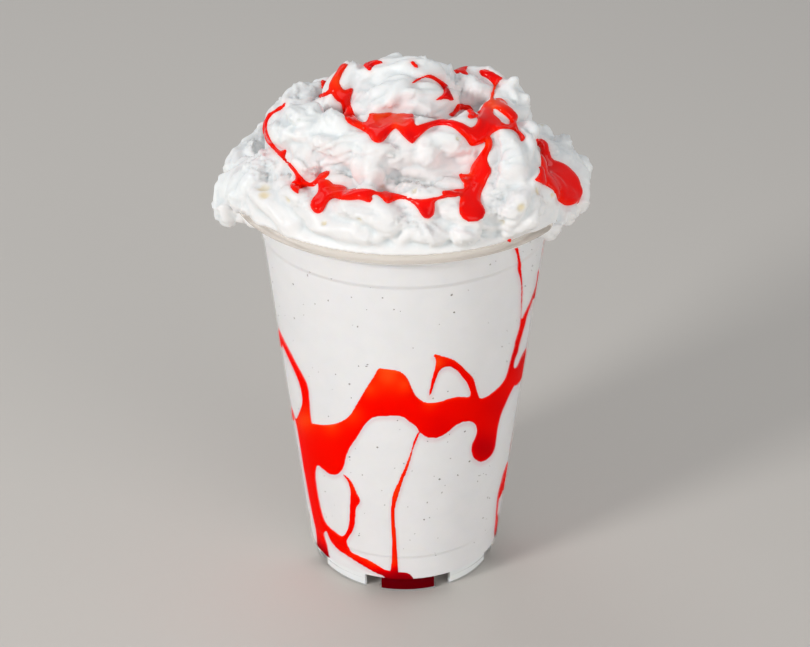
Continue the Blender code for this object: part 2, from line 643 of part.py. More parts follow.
def make_cream():
    white = material("whipped_cream", (0.93, 0.92, 0.89), 0.4)
    red = material("drizzle", (0.85, 0.01, 0.0), 0.15)
    cream = add_object("whipped_cream", cream_mesh(), white)
    remesh = cream.modifiers.new("one_skin", "REMESH")
    remesh.mode = "VOXEL"
    remesh.voxel_size = CREAM_VOXEL
    applied(cream)
    keep_main_skin(cream)
    count = 2 * len(cream.data.polygons)
    thin_out = cream.modifiers.new("fewer_faces", "DECIMATE")
    thin_out.ratio = CREAM_TRIANGLES / count
    cut = cream.modifiers.new("clear_of_cup", "BOOLEAN")
    cut.operation = "DIFFERENCE"
    cut.object = add_helper("clearance_cutter", cup_clearance())
    applied(cream)
    keep_main_skin(cream)
    surface = skin_tree(cream.data)
    runs = {name: thrown_runs(run, surface, DRIZZLE_STEP) for name, run in CREAM_SYRUP.items()}
    behind = skin_tree(cream.data, half_turned)
    for name, run in BACK_SYRUP.items():
        runs[name] = []
        for part in thrown_runs(run, behind, DRIZZLE_STEP):
            turned = [(half_turned(place), half_turned(normal), width) for place, normal, width in part]
            runs[name].append(turned)
    beads = []
    for name, parts in runs.items():
        for found in parts:
            beads.append(bead_mesh(name, found, DRIZZLE_PROUD, DRIZZLE_MOST, DRIZZLE_SUNK))
    fuse(cream, beads, red, solver="MANIFOLD")
    cream.data.shade_smooth()
    return cream


clear_scene()
make_cup()
make_shake()
make_cream()
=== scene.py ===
"""The looks of a milkshake in a clear plastic cup, with whipped cream and red syrup.

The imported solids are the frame. Every piece here repeats the named sizes that the solids were made from.
Metres, +Z up, origin at the middle of the cup's foot. The side with the syrup faces -Y.
"""

import math

import bmesh
import bpy
import numpy as np
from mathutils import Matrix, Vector, noise
from mathutils.bvhtree import BVHTree


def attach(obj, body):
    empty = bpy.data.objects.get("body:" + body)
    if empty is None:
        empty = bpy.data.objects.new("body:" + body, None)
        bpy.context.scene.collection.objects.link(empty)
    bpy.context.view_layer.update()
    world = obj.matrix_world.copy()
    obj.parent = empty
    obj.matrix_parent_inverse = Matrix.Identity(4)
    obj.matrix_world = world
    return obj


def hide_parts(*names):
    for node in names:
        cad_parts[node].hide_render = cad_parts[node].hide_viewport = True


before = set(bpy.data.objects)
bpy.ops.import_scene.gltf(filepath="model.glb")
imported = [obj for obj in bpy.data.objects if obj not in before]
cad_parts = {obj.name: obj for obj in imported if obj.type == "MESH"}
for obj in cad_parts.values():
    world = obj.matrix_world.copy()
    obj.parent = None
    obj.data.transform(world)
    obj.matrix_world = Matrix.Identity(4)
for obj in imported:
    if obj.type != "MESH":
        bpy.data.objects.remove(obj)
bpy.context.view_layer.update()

MM = 0.001
ROOT = "root"
NOISE_SEED = 3

# Cup, as in the solids
WALL = 0.8 * MM
GAP = 0.3 * MM
RIM_RADIUS = 49.0 * MM
RIM_HEIGHT = 124.0 * MM
CURL = 1.4 * MM
NECK_RADIUS = 42.8 * MM
NECK_HEIGHT = 118.6 * MM
RING_RADIUS = 41.2 * MM
RING_HEIGHT = 110.0 * MM
RING_STEP = 0.5 * MM
RING_TOP = RING_HEIGHT + 1.0 * MM
STEP_RADIUS = 30.2 * MM
STEP_HEIGHT = 13.7 * MM
STEP_TOP = STEP_HEIGHT + 1.2 * MM
BODY_RADIUS = 29.5 * MM
BODY_HEIGHT = 4.8 * MM
FOOT_RADIUS = 27.8 * MM
FOOT_WIDTH = 2.2 * MM
BASE_HEIGHT = 3.6 * MM
FLOOR_HEIGHT = BODY_HEIGHT + 0.8 * MM
NOTCHES = 8
NOTCH_TURN = math.radians(25)
NOTCH_WIDTH = 4.4 * MM
NOTCH_HEIGHT = 2.4 * MM
CUP_SIDES = 192
BEAD = 0.35 * MM
STEP_BEAD = 0.4 * MM
FLARE = 1.6 * MM
FLARE_RISE = 2.0 * MM
SHARP_TURN = math.radians(40)

# Shake
SHAKE_LEVEL = 120.6 * MM
SHAKE_SIDES = 300
SHAKE_ROWS = 160
SHAKE_INTO_WALL = 0.15 * MM
FLOOR_EDGE = 0.6 * MM
BLUSH = 0.4
BLUSH_REACH = 0.6
BLUSH_DROP = 1.0 * MM
SPECKS = 430
SPECK_SEED = 11
SPECK_LOW = 12 * MM
SPECK_HIGH = 117 * MM
SPECK_THICK = 0.06 * MM

# The syrup on the wall. Its edge is in millimetres
SYRUP_SIDES = 480
SYRUP_STEP = 0.6 * MM
SYRUP_INTO_WALL = 0.35 * MM
SYRUP_SUNK = 0.9 * MM
SYRUP_EDGE = 0.5
SYRUP_LUG = 5
EDGE_TAPER = 0.3
PLAIN_SHADE = 0.42
TOP_REACH = 1.2 * MM
TOP_THINNING = 0.16
# The syrup is darker towards the bottom: it pools thick there, and painted shade stands for the dim light
# round the foot
BASE_SHADE = 0.9
BASE_POOL_AND_SHADE_HEIGHT = 11 * MM
BASE_POOL_AND_SHADE_BLEND = 5 * MM

# Whipped cream, as in the solids, with a finer skin
CREAM_BOTTOM = SHAKE_LEVEL + GAP
CREAM_VOXEL = 0.66 * MM
CREAM_OVERLAP = 0.12 * MM
PETALS = 5
PETAL_DEPTH = 0.16
PETAL_MEAN = 0.64
PETAL_PITCH = 70.0 * MM
CRUMPLE = 0.95
CRUMPLE_LENGTH = 14.0 * MM
CRUMPLE_ROUND = 9.0 * MM
RUFFLE = 0.13
RUFFLE_LENGTH = 13.0 * MM
RUFFLE_ROUND = 3.6 * MM
ROPE_SIDES = 48
ROPE_TIP = 0.7
RING_POINTS = 420
FOLD_STEPS = 14
SMOOTH_SHARE = 0.35
# The two rings and the heart they lie on are in millimetres
LOWER_RING = dict(
    across=43.2, deep=38.6, shift=0.0, middle=0.0, height=127.8, tilt=-0.06, sag=4.0, thick=7.9,
)
UPPER_RING = dict(
    across=29.0, deep=21.5, shift=-1.5, middle=-4.5, height=142.0, tilt=-0.12, sag=0.0, thick=7.3,
)
HEART = [(0, 121), (41.0, 121), (41.8, 124), (38, 129), (31, 135), (22, 143), (12, 149), (0, 151)]
# The cream that is pressed into the lip's flare
COLLAR = [(36, 119.5), (45.5, 119.5), (47.6, 121.8), (48.0, 124.2), (46.0, 126.6), (36, 127)]
# Each fold is a run of points in millimetres: right, back, up, thickness
FOLDS = {
    "crown_front": [(-12, -9, 149, 5.0), (-4, -13, 151.5, 6.4), (5, -12, 151.5, 6.4),
                    (12, -7, 149, 5.0)],
    "crown_middle": [(-13, -1, 151.5, 5.5), (-4, -4, 154, 6.4), (4, -3, 154, 6.4), (12, 2, 150, 5.5)],
    "crown_back": [(-10, 7, 149, 5.5), (0, 6, 151.5, 6.2), (9, 8, 149, 5.5)],
    "crown_left": [(-19, -5, 147, 4.2), (-18, -3, 152.5, 4.6), (-13, 0, 157, 3.6)],
    "right_top": [(10, 6, 146, 7.0), (19, 4, 147, 7.6), (26, 3, 145.5, 6.6)],
    "right_edge": [(25, 8, 149, 3.2), (29, 3, 149, 3.8), (31, -1, 144, 4.2), (30, -6, 141, 4.4)],
    "right_fall": [(26.5, -10, 142, 6.6), (29.5, -22, 141, 7.8), (29.5, -32, 134, 8.2),
                   (28, -38, 128.5, 6.5)],
    "left_shoulder": [(-20, 11, 138.5, 7.0), (-30, 3, 140.5, 7.2), (-29.5, -10, 142, 7.0),
                      (-21, -20, 142, 6.2)],
    "left_tongue": [(-41, -4, 129, 5.4), (-46.5, -9, 126, 5.0), (-48.6, -12, 121, 3.8),
                    (-48.6, -14, 117.5, 2.2)],
    "left_fan": [(-36, -14, 134, 5.6), (-42, -17, 130.5, 5.6), (-44.5, -20, 126, 4.8)],
    "right_cup": [(38, 6, 128, 5.0), (43.5, 0, 129.5, 5.2), (47.0, -8, 126.5, 5.0),
                  (47.6, -14, 121.5, 3.4)],
    "right_spike": [(28, 3, 149, 3.6), (31.3, 3, 153.6, 1.3)],
    "right_horn": [(29, 0, 147.5, 3.6), (34.6, 0, 149.2, 1.3)],
    "left_peak": [(-23, -1, 145, 4.4), (-21.5, -2.5, 150.0, 1.6)],
    "crown_ridge": [(2, -11, 157.5, 2.0), (-2, -15.5, 156, 2.6), (-7, -18, 152, 2.6),
                    (-11, -18.5, 147.5, 2.0)],
    "front_peak": [(-3, -23, 146, 4.0), (-2.6, -25.5, 151.0, 1.4)],
    "front_tongue": [(-8, -28, 144, 5.0), (-8, -33, 140.5, 4.2), (-7.5, -35, 138, 2.4)],
    "left_foot": [(-25, -21, 141, 5.0), (-27.5, -27, 138, 3.6)],
    "front_ridge": [(-2, -42.5, 134, 2.6), (-5, -44.5, 130, 2.6), (-9, -45, 126, 2.0)],
    "front_groove_side": [(5, -43, 134, 2.8), (2, -45, 130, 2.6), (-2, -45.5, 126, 2.0)],
    "front_swirl": [(8, -41, 134, 2.6), (14, -43, 133.5, 3.0), (18, -43, 130, 3.0), (14, -45, 127, 2.4)],
    "front_shelf": [(-22, -29, 131, 6.4), (0, -33, 131.5, 6.4), (20, -30, 131, 6.4)],
    "front_recess": [(-24, -20, 136.5, 6.0), (-9, -25, 137, 6.4), (9, -25, 137, 6.4),
                     (24, -20, 136.5, 6.0)],
    "left_recess": [(-33, 6, 136, 5.5), (-33, -6, 135.5, 6.0), (-29, -18, 135.5, 6.0)],
    "pool_bed": [(36, 4, 134.5, 3.5), (40.5, -5, 130.5, 5.2), (43.5, -14, 125.5, 6.2)],
}
# These folds are smoother than the others
SMOOTH_FOLDS = ("right_cup", "pool_bed", "left_recess")

# The cream's finer folds are longer than they are wide. They slant down to the right in the lower ring,
# and rise gently above it
FOLD_RING = 38 * MM
FOLD_LENGTH = 12 * MM
FOLD_WIDTH = 4.6 * MM
FOLD_TURN_HEIGHT = 132 * MM
LOW_SLANT = -0.75
HIGH_SLANT = 0.35
CROWN_RADIUS = 14 * MM
BLEND_LENGTH = 8 * MM
SEAM_TURN = 0.15
TORN_LENGTH = 15 * MM
BEND = 0.7
BEND_LENGTH = 9 * MM
CREASE_SHIFT = (5.3, 0.7, 0.2)
CREST_WIDTH = 0.2
CREASE_WIDTH = 0.15
CREST_SHARPNESS = 1.3
GRAIN_LENGTH = 2.5 * MM
# These are in millimetres, up or down from the skin
CREST_RISE = 0.7
CREASE_DEPTH = 0.5
GRAIN_RISE = 0.04
PRESSED_RISE = 0.15
# How much of its own relief the skin gains once more, so that it looks crisp
CRISPNESS = 0.25

# Round this place at the right, the cream is a smooth lobe
SMOOTH_LOBE = (46, -6, 127)
LOBE_REACH = 11 * MM
LOBE_CALM = 0.8

# The drizzle on the cream. Its edges, rises and depths are in millimetres
SIGHT_REACH = 12.0
SIGHT_CLEARANCE = 0.25
SPREAD_ROUNDS = 6
SPREAD_LOSS = 0.12
SPREAD_GAIN = 0.08
SAG_SHIFT = 6.0
SAG_SHARE = 0.35
DRIZZLE_EDGE = 1.5
DRIZZLE_RISE = 1.15
DRIZZLE_SINK = 0.12
DRIZZLE_DEPTH = 0.8
CREAM_SINK = 0.3
CALM_EDGE = 0.8
CALM_SHARE = 0.9
CALM_ROUNDS = 50
EDGE_THINNING = 0.1

# The tints of the cream, with painted shade in the creases of its folds. The creases where that painted
# shade is full, and the pits, are as deep as this in millimetres
CREASE_SHADE_DEPTH = 0.28
PIT_DEPTH = 0.6
PIT_REACH = 0.55
STAIN = 0.35
STAIN_REACH = 0.45
FAINT_STAIN = 0.02
FAINT_REACH = 4.0

# The eye point from which the syrup's outlines are drawn
EYE = np.array((0.3, -497.0, 348.0)) * MM
EYE_PITCH = math.radians(28.56)
EYE_LENGTH = 1912.0
PICTURE_WIDTH = 810.0
PICTURE_MIDDLE = (405.0, 323.5)
SENSOR = 36.0
# The picture's units in a millimetre on the cream behind
BACK_SCALE = 3.5

# Each outline is read off enlargements of the picture: the corner an enlargement starts at, and its scale
CREAM_LEFT = (210, 50, 7.465)
CREAM_RIGHT = (400, 50, 7.465)
BAND_LEFT = (262, 310, 9.8)
BAND_RIGHT = (385, 335, 9.8)
CUP_BOTTOM = (295, 455, 7.127)
CUP_SHOULDER = (490, 225, 10.455)

BAND = [
    (BAND_LEFT, [
        (135, 105), (165, 165), (200, 240), (240, 320), (290, 415), (345, 520), (400, 620), (445, 710),
        (465, 790), (472, 870), (478, 960), (485, 1040), (497, 1100), (540, 1112), (610, 1120), (700, 1112),
        (770, 1090), (830, 1055), (880, 1000), (930, 915), (980, 830), (1030, 745), (1080, 670), (1110, 620),
        (1130, 580), (1155, 562), (1200, 568), (1270, 580), (1340, 590), (1390, 620), (1430, 665),
        (1455, 720), (1480, 780), (1515, 840), (1568, 880),
    ]),
    (BAND_RIGHT, [
        (380, 650), (440, 657), (500, 655), (560, 640), (620, 620), (690, 602), (760, 598), (815, 600),
        (830, 580), (826, 545), (810, 500), (790, 460), (750, 410), (710, 360), (670, 330), (630, 310),
        (590, 312), (555, 330), (530, 360), (505, 420), (480, 490), (460, 560), (435, 600), (430, 570),
        (440, 500), (460, 410), (480, 340), (495, 270), (490, 235), (465, 195), (510, 183), (560, 200),
        (620, 215), (680, 240), (740, 285), (800, 345), (850, 395), (875, 440), (890, 500), (910, 570),
        (930, 612), (970, 605), (1020, 580), (1070, 540), (1120, 495), (1160, 440), (1190, 370),
        (1215, 270), (1240, 180), (1265, 90),
    ]),
    (CUP_SHOULDER, [
        (245, 1250), (275, 1150), (298, 1070), (305, 1010), (312, 950), (315, 880), (315, 800), (318, 700),
        (315, 620), (300, 540), (280, 470), (280, 400), (272, 320), (255, 270), (240, 235), (262, 214),
        (290, 230), (300, 280), (313, 350), (323, 400), (322, 450), (330, 530), (335, 620), (337, 700),
        (332, 790), (328, 880), (324, 975), (345, 935), (375, 875), (410, 800), (440, 720), (465, 650),
        (480, 580), (490, 500), (505, 460), (525, 435), (518, 500), (508, 560), (495, 620), (475, 690),
        (450, 760), (425, 830), (400, 900), (380, 960), (365, 1030), (345, 1100), (325, 1170), (305, 1240),
        (290, 1320), (272, 1365), (253, 1420), (245, 1475), (262, 1490), (290, 1440), (310, 1390),
        (340, 1330), (370, 1280), (395, 1240), (388, 1300), (375, 1370), (360, 1440), (345, 1510),
    ]),
    (BAND_RIGHT, [
        (1325, 395), (1290, 450), (1250, 520), (1210, 600), (1175, 680), (1140, 760), (1115, 850),
        (1100, 920), (1090, 1000), (1080, 1080), (1060, 1140), (1030, 1190), (990, 1225), (945, 1245),
        (900, 1235), (860, 1200), (845, 1160), (840, 1110), (850, 1060), (875, 1010), (890, 960), (890, 910),
        (870, 870), (830, 850), (780, 850), (730, 865), (680, 895), (630, 940), (580, 975), (520, 1005),
        (460, 1010), (400, 1000), (350, 965), (325, 940), (310, 910), (280, 880), (240, 855), (200, 820),
        (160, 800), (90, 795), (0, 795),
    ]),
    (BAND_LEFT, [
        (1130, 1045), (1080, 1060), (1035, 1095), (1000, 1140), (960, 1205), (920, 1270), (870, 1340),
        (840, 1410), (820, 1480),
    ]),
    (CUP_BOTTOM, [
        (370, 0), (358, 60), (340, 105), (310, 135), (275, 142), (240, 130), (200, 100), (170, 75),
        (158, 90), (152, 140), (160, 220), (175, 310), (195, 400), (215, 460), (240, 500), (280, 535),
        (320, 565), (345, 572), (370, 540), (385, 490), (390, 420), (392, 350), (395, 280), (388, 220),
        (372, 180), (345, 145), (335, 128), (365, 143), (395, 170), (420, 210), (445, 270), (470, 325),
        (440, 375), (435, 430), (430, 490), (415, 540), (390, 580), (372, 615), (390, 660), (410, 690),
        (460, 715), (520, 740), (590, 780), (640, 810), (700, 826), (780, 832), (820, 845), (850, 885),
        (880, 960), (640, 990), (645, 880), (570, 838), (500, 798), (430, 755), (370, 715), (310, 675),
        (265, 625), (240, 575), (225, 543), (213, 560), (222, 600), (235, 640), (245, 700), (265, 760),
        (290, 805), (320, 870), (230, 880), (180, 740), (163, 690), (158, 640), (158, 600), (150, 530),
        (130, 440), (100, 290), (75, 150),
    ]),
    (BAND_LEFT, [
        (415, 1568), (395, 1440), (375, 1320), (355, 1200), (338, 1110), (320, 1060), (290, 980),
        (265, 900), (250, 820), (275, 885), (305, 970), (338, 1062), (365, 1010), (390, 940), (398, 880),
        (388, 800), (365, 710), (325, 610), (275, 500), (225, 390), (180, 290), (150, 190),
    ]),
]
MIDDLE_DRIP = [
    (BAND_RIGHT, [
        (318, 950), (290, 1010), (270, 1060), (258, 1115), (240, 1170), (205, 1260), (165, 1360),
        (120, 1460),
    ]),
    (CUP_BOTTOM, [
        (780, 80), (745, 160), (715, 230), (700, 265), (690, 310), (682, 400), (685, 500), (690, 600),
        (690, 700), (685, 780), (680, 850), (735, 850), (735, 790), (732, 740), (728, 640), (720, 540),
        (713, 430), (718, 360), (735, 300), (758, 220), (783, 140),
    ]),
    (BAND_RIGHT, [
        (150, 1520), (180, 1430), (210, 1350), (240, 1260), (262, 1180), (276, 1120), (292, 1080),
        (312, 1030), (335, 970),
    ]),
]
LOW_RIGHT_STREAK = [
    (CUP_BOTTOM, [
        (1512, 40), (1495, 85), (1478, 130), (1460, 200), (1442, 270), (1432, 340), (1426, 420),
        (1420, 500), (1414, 555), (1425, 640), (1450, 600), (1448, 550), (1446, 480), (1441, 430),
        (1442, 380), (1450, 320), (1465, 258), (1490, 250), (1507, 190), (1525, 110), (1530, 60),
    ]),
]
CROWN_LOOP = [
    (CREAM_LEFT, [
        (1030, 105), (1000, 150), (975, 200), (965, 245), (985, 280), (1010, 300), (1040, 290), (1065, 283),
        (1062, 320), (1050, 350), (1045, 395), (1060, 440), (1080, 490), (1110, 530), (1150, 550),
        (1180, 510), (1195, 472), (1250, 475), (1330, 470), (1400, 475),
    ]),
    (CREAM_RIGHT, [
        (60, 480), (98, 475), (105, 520), (115, 560), (150, 558), (200, 542), (250, 528), (310, 522),
        (370, 527), (420, 532), (465, 545), (500, 562), (530, 578), (560, 565), (578, 535), (582, 505),
        (592, 480), (605, 450), (620, 412), (645, 390), (670, 372), (680, 330), (695, 285), (695, 255),
        (665, 222), (640, 205), (610, 192), (592, 165), (600, 148), (650, 150), (700, 170), (735, 192),
        (772, 212), (745, 225), (725, 255), (710, 300), (700, 345), (700, 368), (765, 375), (795, 400),
        (830, 432), (865, 470), (877, 505), (867, 545), (880, 585), (900, 610), (932, 650), (925, 668),
        (905, 684), (892, 650), (872, 620), (850, 598), (810, 588), (760, 588), (725, 598), (690, 622),
        (665, 645), (640, 668), (610, 695), (575, 710), (530, 715), (510, 690), (480, 650), (440, 612),
        (400, 580), (350, 562), (290, 560), (230, 577), (190, 605), (150, 640), (112, 680), (95, 702),
        (75, 690),
    ]),
    (CREAM_LEFT, [
        (1440, 640), (1410, 605), (1385, 580), (1345, 615), (1320, 650), (1290, 682), (1250, 692),
        (1210, 672), (1185, 635), (1150, 605), (1110, 585), (1060, 560), (1020, 530), (1000, 480),
        (990, 440), (985, 400), (950, 380), (925, 350), (905, 325), (885, 335), (850, 350), (815, 357),
        (815, 335), (850, 320), (885, 303), (888, 265), (908, 220), (933, 180), (958, 145), (985, 115),
    ]),
]
CROWN_HOLE = [
    (CREAM_RIGHT, [(688, 435), (722, 440), (762, 470), (800, 500), (822, 530), (812, 562), (770, 545),
                   (730, 512), (700, 480)]),
]
CROWN_HOOK = [
    (CREAM_RIGHT, [(362, 480), (395, 497), (412, 482), (432, 458), (470, 442), (500, 452), (518, 472),
                   (503, 502), (535, 512), (572, 497), (560, 470), (545, 440), (522, 416), (480, 410),
                   (430, 402), (412, 438), (390, 465)]),
]
CROWN_CURL = [
    (CREAM_RIGHT, [(88, 258), (92, 240), (130, 214), (170, 198), (205, 184), (232, 184), (272, 203),
                   (312, 230), (342, 260), (368, 300), (388, 340), (404, 378), (375, 374), (340, 362),
                   (290, 374), (262, 374), (298, 350), (318, 335), (328, 310), (318, 280), (290, 250),
                   (250, 222), (215, 208), (180, 208), (130, 230)]),
]
CROWN_CAP = [
    (CREAM_LEFT, [(1138, 98), (1160, 130), (1200, 162), (1212, 122), (1260, 104), (1310, 94), (1260, 82),
                  (1190, 80)]),
]
CROWN_CAP_RIGHT = [
    (CREAM_RIGHT, [(72, 84), (90, 108), (120, 134), (138, 128), (112, 94), (90, 80)]),
]
LEFT_LOOP = [
    (CREAM_LEFT, [
        (562, 380), (552, 405), (500, 440), (450, 470), (420, 505), (401, 550), (401, 600), (413, 650),
        (443, 705), (488, 757), (530, 803), (570, 850), (610, 890), (632, 925), (638, 965), (602, 1000),
        (608, 1032), (640, 1067), (668, 1078), (662, 1042), (700, 1022), (740, 1016), (772, 1020),
        (802, 992), (842, 962), (882, 940), (892, 900), (850, 915), (800, 955), (765, 988), (722, 983),
        (692, 958), (668, 930), (645, 898), (628, 876), (585, 828), (560, 800), (572, 742), (530, 752),
        (498, 732), (464, 690), (438, 640), (424, 590), (428, 540), (447, 502), (482, 470), (532, 442),
        (566, 408),
    ]),
]
FRONT_BAND = [
    (CREAM_LEFT, [
        (808, 982), (850, 968), (890, 973), (915, 1000), (960, 1008), (1010, 1018), (1025, 1043),
        (1080, 1043), (1180, 1036), (1240, 1056), (1310, 1068), (1400, 1078),
    ]),
    (CREAM_RIGHT, [
        (10, 1080), (60, 1096), (110, 1112), (170, 1114), (230, 1104), (310, 1088), (350, 1075), (350, 1100),
        (300, 1112), (260, 1128), (260, 1200), (242, 1240), (205, 1260), (170, 1242), (140, 1197),
        (115, 1162), (69, 1129), (35, 1116),
    ]),
    (CREAM_LEFT, [
        (1420, 1112), (1373, 1125), (1325, 1145), (1287, 1110), (1250, 1080), (1205, 1084), (1212, 1115),
        (1190, 1140), (1150, 1125), (1110, 1115), (1040, 1120), (980, 1117), (930, 1102), (882, 1130),
        (862, 1170), (832, 1212), (790, 1218), (758, 1187), (750, 1150), (768, 1105), (795, 1080),
        (810, 1040),
    ]),
]
RIGHT_FALL = [
    (CREAM_RIGHT, [
        (652, 642), (640, 690), (625, 732), (600, 770), (570, 812), (545, 850), (530, 882), (528, 918),
        (490, 930), (438, 920), (455, 962), (478, 1000), (480, 1040), (420, 1045), (370, 1048),
        (308, 1055), (330, 1082), (370, 1097), (430, 1092), (453, 1085), (448, 1130), (444, 1172),
        (450, 1222), (475, 1257), (512, 1277), (560, 1278), (602, 1262), (637, 1212), (625, 1178),
        (602, 1130), (600, 1090), (617, 1040), (637, 1000), (652, 960), (674, 920), (676, 890), (652, 840),
        (650, 800), (667, 760), (684, 730), (690, 700), (686, 668), (672, 645),
    ]),
]
RIGHT_POOL = [
    (CREAM_RIGHT, [
        (1013, 668), (1040, 663), (1070, 670), (1102, 700), (1112, 740), (1122, 780), (1142, 815),
        (1190, 838), (1242, 862), (1292, 910), (1332, 960), (1352, 1020), (1357, 1070), (1337, 1122),
        (1292, 1152), (1240, 1160), (1195, 1137), (1173, 1110), (1168, 1080), (1140, 1042), (1090, 1012),
        (1040, 987), (1002, 966), (1028, 945), (1048, 900), (1028, 868), (1050, 873), (1055, 830),
        (1050, 780), (1045, 730),
    ]),
]
RIM_DOT = [
    (CREAM_RIGHT, [(798, 1427), (818, 1411), (840, 1417), (826, 1434)]),
]
CREAM_SAUCES = [
    CROWN_LOOP, CROWN_HOOK, CROWN_CURL, CROWN_CAP, CROWN_CAP_RIGHT, LEFT_LOOP, FRONT_BAND, RIGHT_FALL,
    RIGHT_POOL, RIM_DOT,
]
WALL_SAUCES = [BAND, MIDDLE_DRIP, LOW_RIGHT_STREAK]

# Where the syrup is thin or pools, in the picture's units: right, down, reach and how deep it looks,
# from nought for a thin orange film to one for the darkest pool; high values on the right side and near the
# foot are painted shade too
WALL_SHADES = [
    (388, 374, 14, 0.0), (370, 388, 8, 0.12), (404, 384, 8, 0.1), (306, 420, 11, 0.08),
    (332, 425, 9, 0.12), (352, 414, 9, 0.15), (437, 362, 7, 0.05), (430, 404, 7, 0.25),
    (408, 458, 12, 0.1), (397, 490, 14, 0.16), (393, 530, 18, 0.22), (393, 562, 8, 0.15),
    (352, 486, 7, 0.25), (350, 562, 10, 0.3), (372, 568, 9, 0.15), (440, 428, 16, 0.52),
    (484, 448, 18, 0.72), (500, 408, 20, 0.58), (518, 356, 20, 0.6), (534, 292, 20, 0.62),
    (498, 500, 20, 0.52), (326, 566, 10, 0.85), (402, 578, 12, 0.9),
]
# The same for the drizzle on the cream; high values on lobes that lie in shade are painted shade
CREAM_SHADES = [
    (337, 82, 9, 0.1), (352, 68, 7, 0.12), (380, 116, 10, 0.0), (398, 119, 10, 0.0), (360, 125, 5, 0.25),
    (493, 104, 9, 0.0), (505, 104, 6, 0.15), (482, 130, 8, 0.5), (444, 124, 10, 0.55), (488, 144, 5, 0.15),
    (470, 176, 6, 0.05), (478, 165, 5, 0.3), (330, 180, 6, 0.15), (336, 190, 6, 0.15), (388, 136, 6, 0.6),
    (410, 138, 5, 0.6), (483, 215, 8, 0.6), (425, 214, 6, 0.6), (566, 190, 12, 0.42), (545, 150, 8, 0.45),
    (448, 92, 8, 0.8), (490, 76, 7, 0.6), (497, 90, 5, 0.1), (370, 66, 5, 0.6), (266, 125, 12, 0.5),
]

# Where painted warm light, bounced from the red syrup, tints the cream in front, with its strength
PAINTED_BOUNCE_PLACES = [(352, 174, 14, 0.08), (385, 180, 14, 0.07), (415, 174, 16, 0.09), (448, 176, 12, 0.08),
               (466, 92, 22, 0.04), (290, 160, 14, 0.03)]

# Yellowish pits in the cream, in the picture's units, with their widths in millimetres
PITS = [
    (264, 188, 3.4), (264, 194, 2.8), (287, 200, 1.6), (522, 208, 2.2), (538, 191, 1.8), (324, 223, 1.2),
    (359, 220, 1.2), (553, 195, 1.2), (382, 188, 1.4), (414, 191, 1.2), (458, 138, 1.0), (502, 222, 1.4),
]

# The syrup's runs on the back of the cream, as seen from a point straight behind the cup, at the eye's
# height and distance. Each point is right and down in the picture, and a width in millimetres
BACK_SYRUP = {
    "back_crown": [(352, 84, 1.8), (340, 100, 3.2), (354, 118, 4.2), (380, 127, 5.0), (410, 121, 3.4),
                   (440, 128, 4.6), (470, 120, 3.2), (486, 102, 1.8)],
    "back_fall": [(440, 128, 3.2), (452, 148, 3.2), (452, 170, 4.4), (450, 190, 4.6), (452, 206, 4.4)],
    "back_low": [(284, 148, 1.4), (296, 170, 2.4), (318, 185, 3.6), (350, 190, 4.4), (384, 185, 2.8),
                 (418, 191, 3.4), (450, 189, 4.2), (482, 177, 2.4), (505, 158, 1.4)],
    "back_drop": [(350, 190, 4.2), (350, 207, 4.4)],
}

# The syrup's runs round the back of the wall. Each point is a turn in degrees, and a height and
# a width in millimetres
BACK_RUNS = {
    "back_band": [(-18, 67, 6.0), (-4, 66, 8.0), (12, 65, 8.5), (30, 68, 7.5), (54, 76, 6.0), (82, 68, 8.5),
                  (110, 75, 6.5), (140, 63, 8.0), (166, 69, 5.5), (188, 75.5, 4.5)],
    "back_drip": [(80, 66, 4.5), (81, 48, 2.6), (78, 34, 2.0), (79, 22, 2.4)],
    "back_right_drip": [(22, 66, 4.2), (24, 54, 2.0), (22, 42, 2.6)],
    "back_right_streak": [(-9, 92.5, 5.0), (4, 97, 3.8), (16, 104, 2.6), (26, 115, 1.4)],
    "back_right_low": [(-15, 25, 5.0), (4, 28, 4.6), (15, 35, 3.0), (22, 44, 2.4)],
    "back_left_low": [(188, 49.5, 3.4), (176, 45, 2.6), (160, 40, 2.2), (143, 38, 2.4)],
    "back_left_drip": [(140, 60, 4.6), (142, 44, 3.0), (139, 24, 2.0), (141, 12, 2.2)],
    "back_streak": [(118, 100, 1.2), (116, 88, 2.2), (111, 77, 3.2)],
}


def smooth_run(points, steps):
    """Catmull-Rom curve through rows of numbers, with a number of steps between each two."""
    rows = np.array(points, float)
    padded = np.vstack([2 * rows[0] - rows[1], rows, 2 * rows[-1] - rows[-2]])
    made = []
    for k in range(1, len(padded) - 2):
        a, b, c, d = padded[k - 1:k + 3]
        for t in np.linspace(0, 1, steps, endpoint=False):
            made.append(0.5 * (2 * b + (c - a) * t + (2 * a - 5 * b + 4 * c - d) * t * t
                               + (3 * b - a - 3 * c + d) * t ** 3))
    made.append(rows[-1])
    return np.array(made)


def smooth_loop(points, steps=3):
    """The same curve through a closed loop of points."""
    rows = np.array(points, float)
    wrapped = np.vstack([rows[-2:], rows, rows[:3]])
    made = smooth_run(wrapped, steps)
    return made[2 * steps:(2 + len(rows)) * steps]


def outline_of(parts):
    """The smooth outline, in the picture's units, of parts that were read off enlargements."""
    points = []
    for (left, top, scale), spots in parts:
        points += [(left + x / scale, top + y / scale) for x, y in spots]
    return smooth_loop(points)


def seen(points):
    """Where the eye sees points, in the picture's units, and how many of these a metre takes there."""
    forward = np.array((0, math.cos(EYE_PITCH), -math.sin(EYE_PITCH)))
    upward = np.array((0, math.sin(EYE_PITCH), math.cos(EYE_PITCH)))
    away = points - EYE
    scale = EYE_LENGTH / (away @ forward)
    right = PICTURE_MIDDLE[0] + scale * away[:, 0]
    down = PICTURE_MIDDLE[1] - scale * (away @ upward)
    return np.column_stack([right, down]), scale


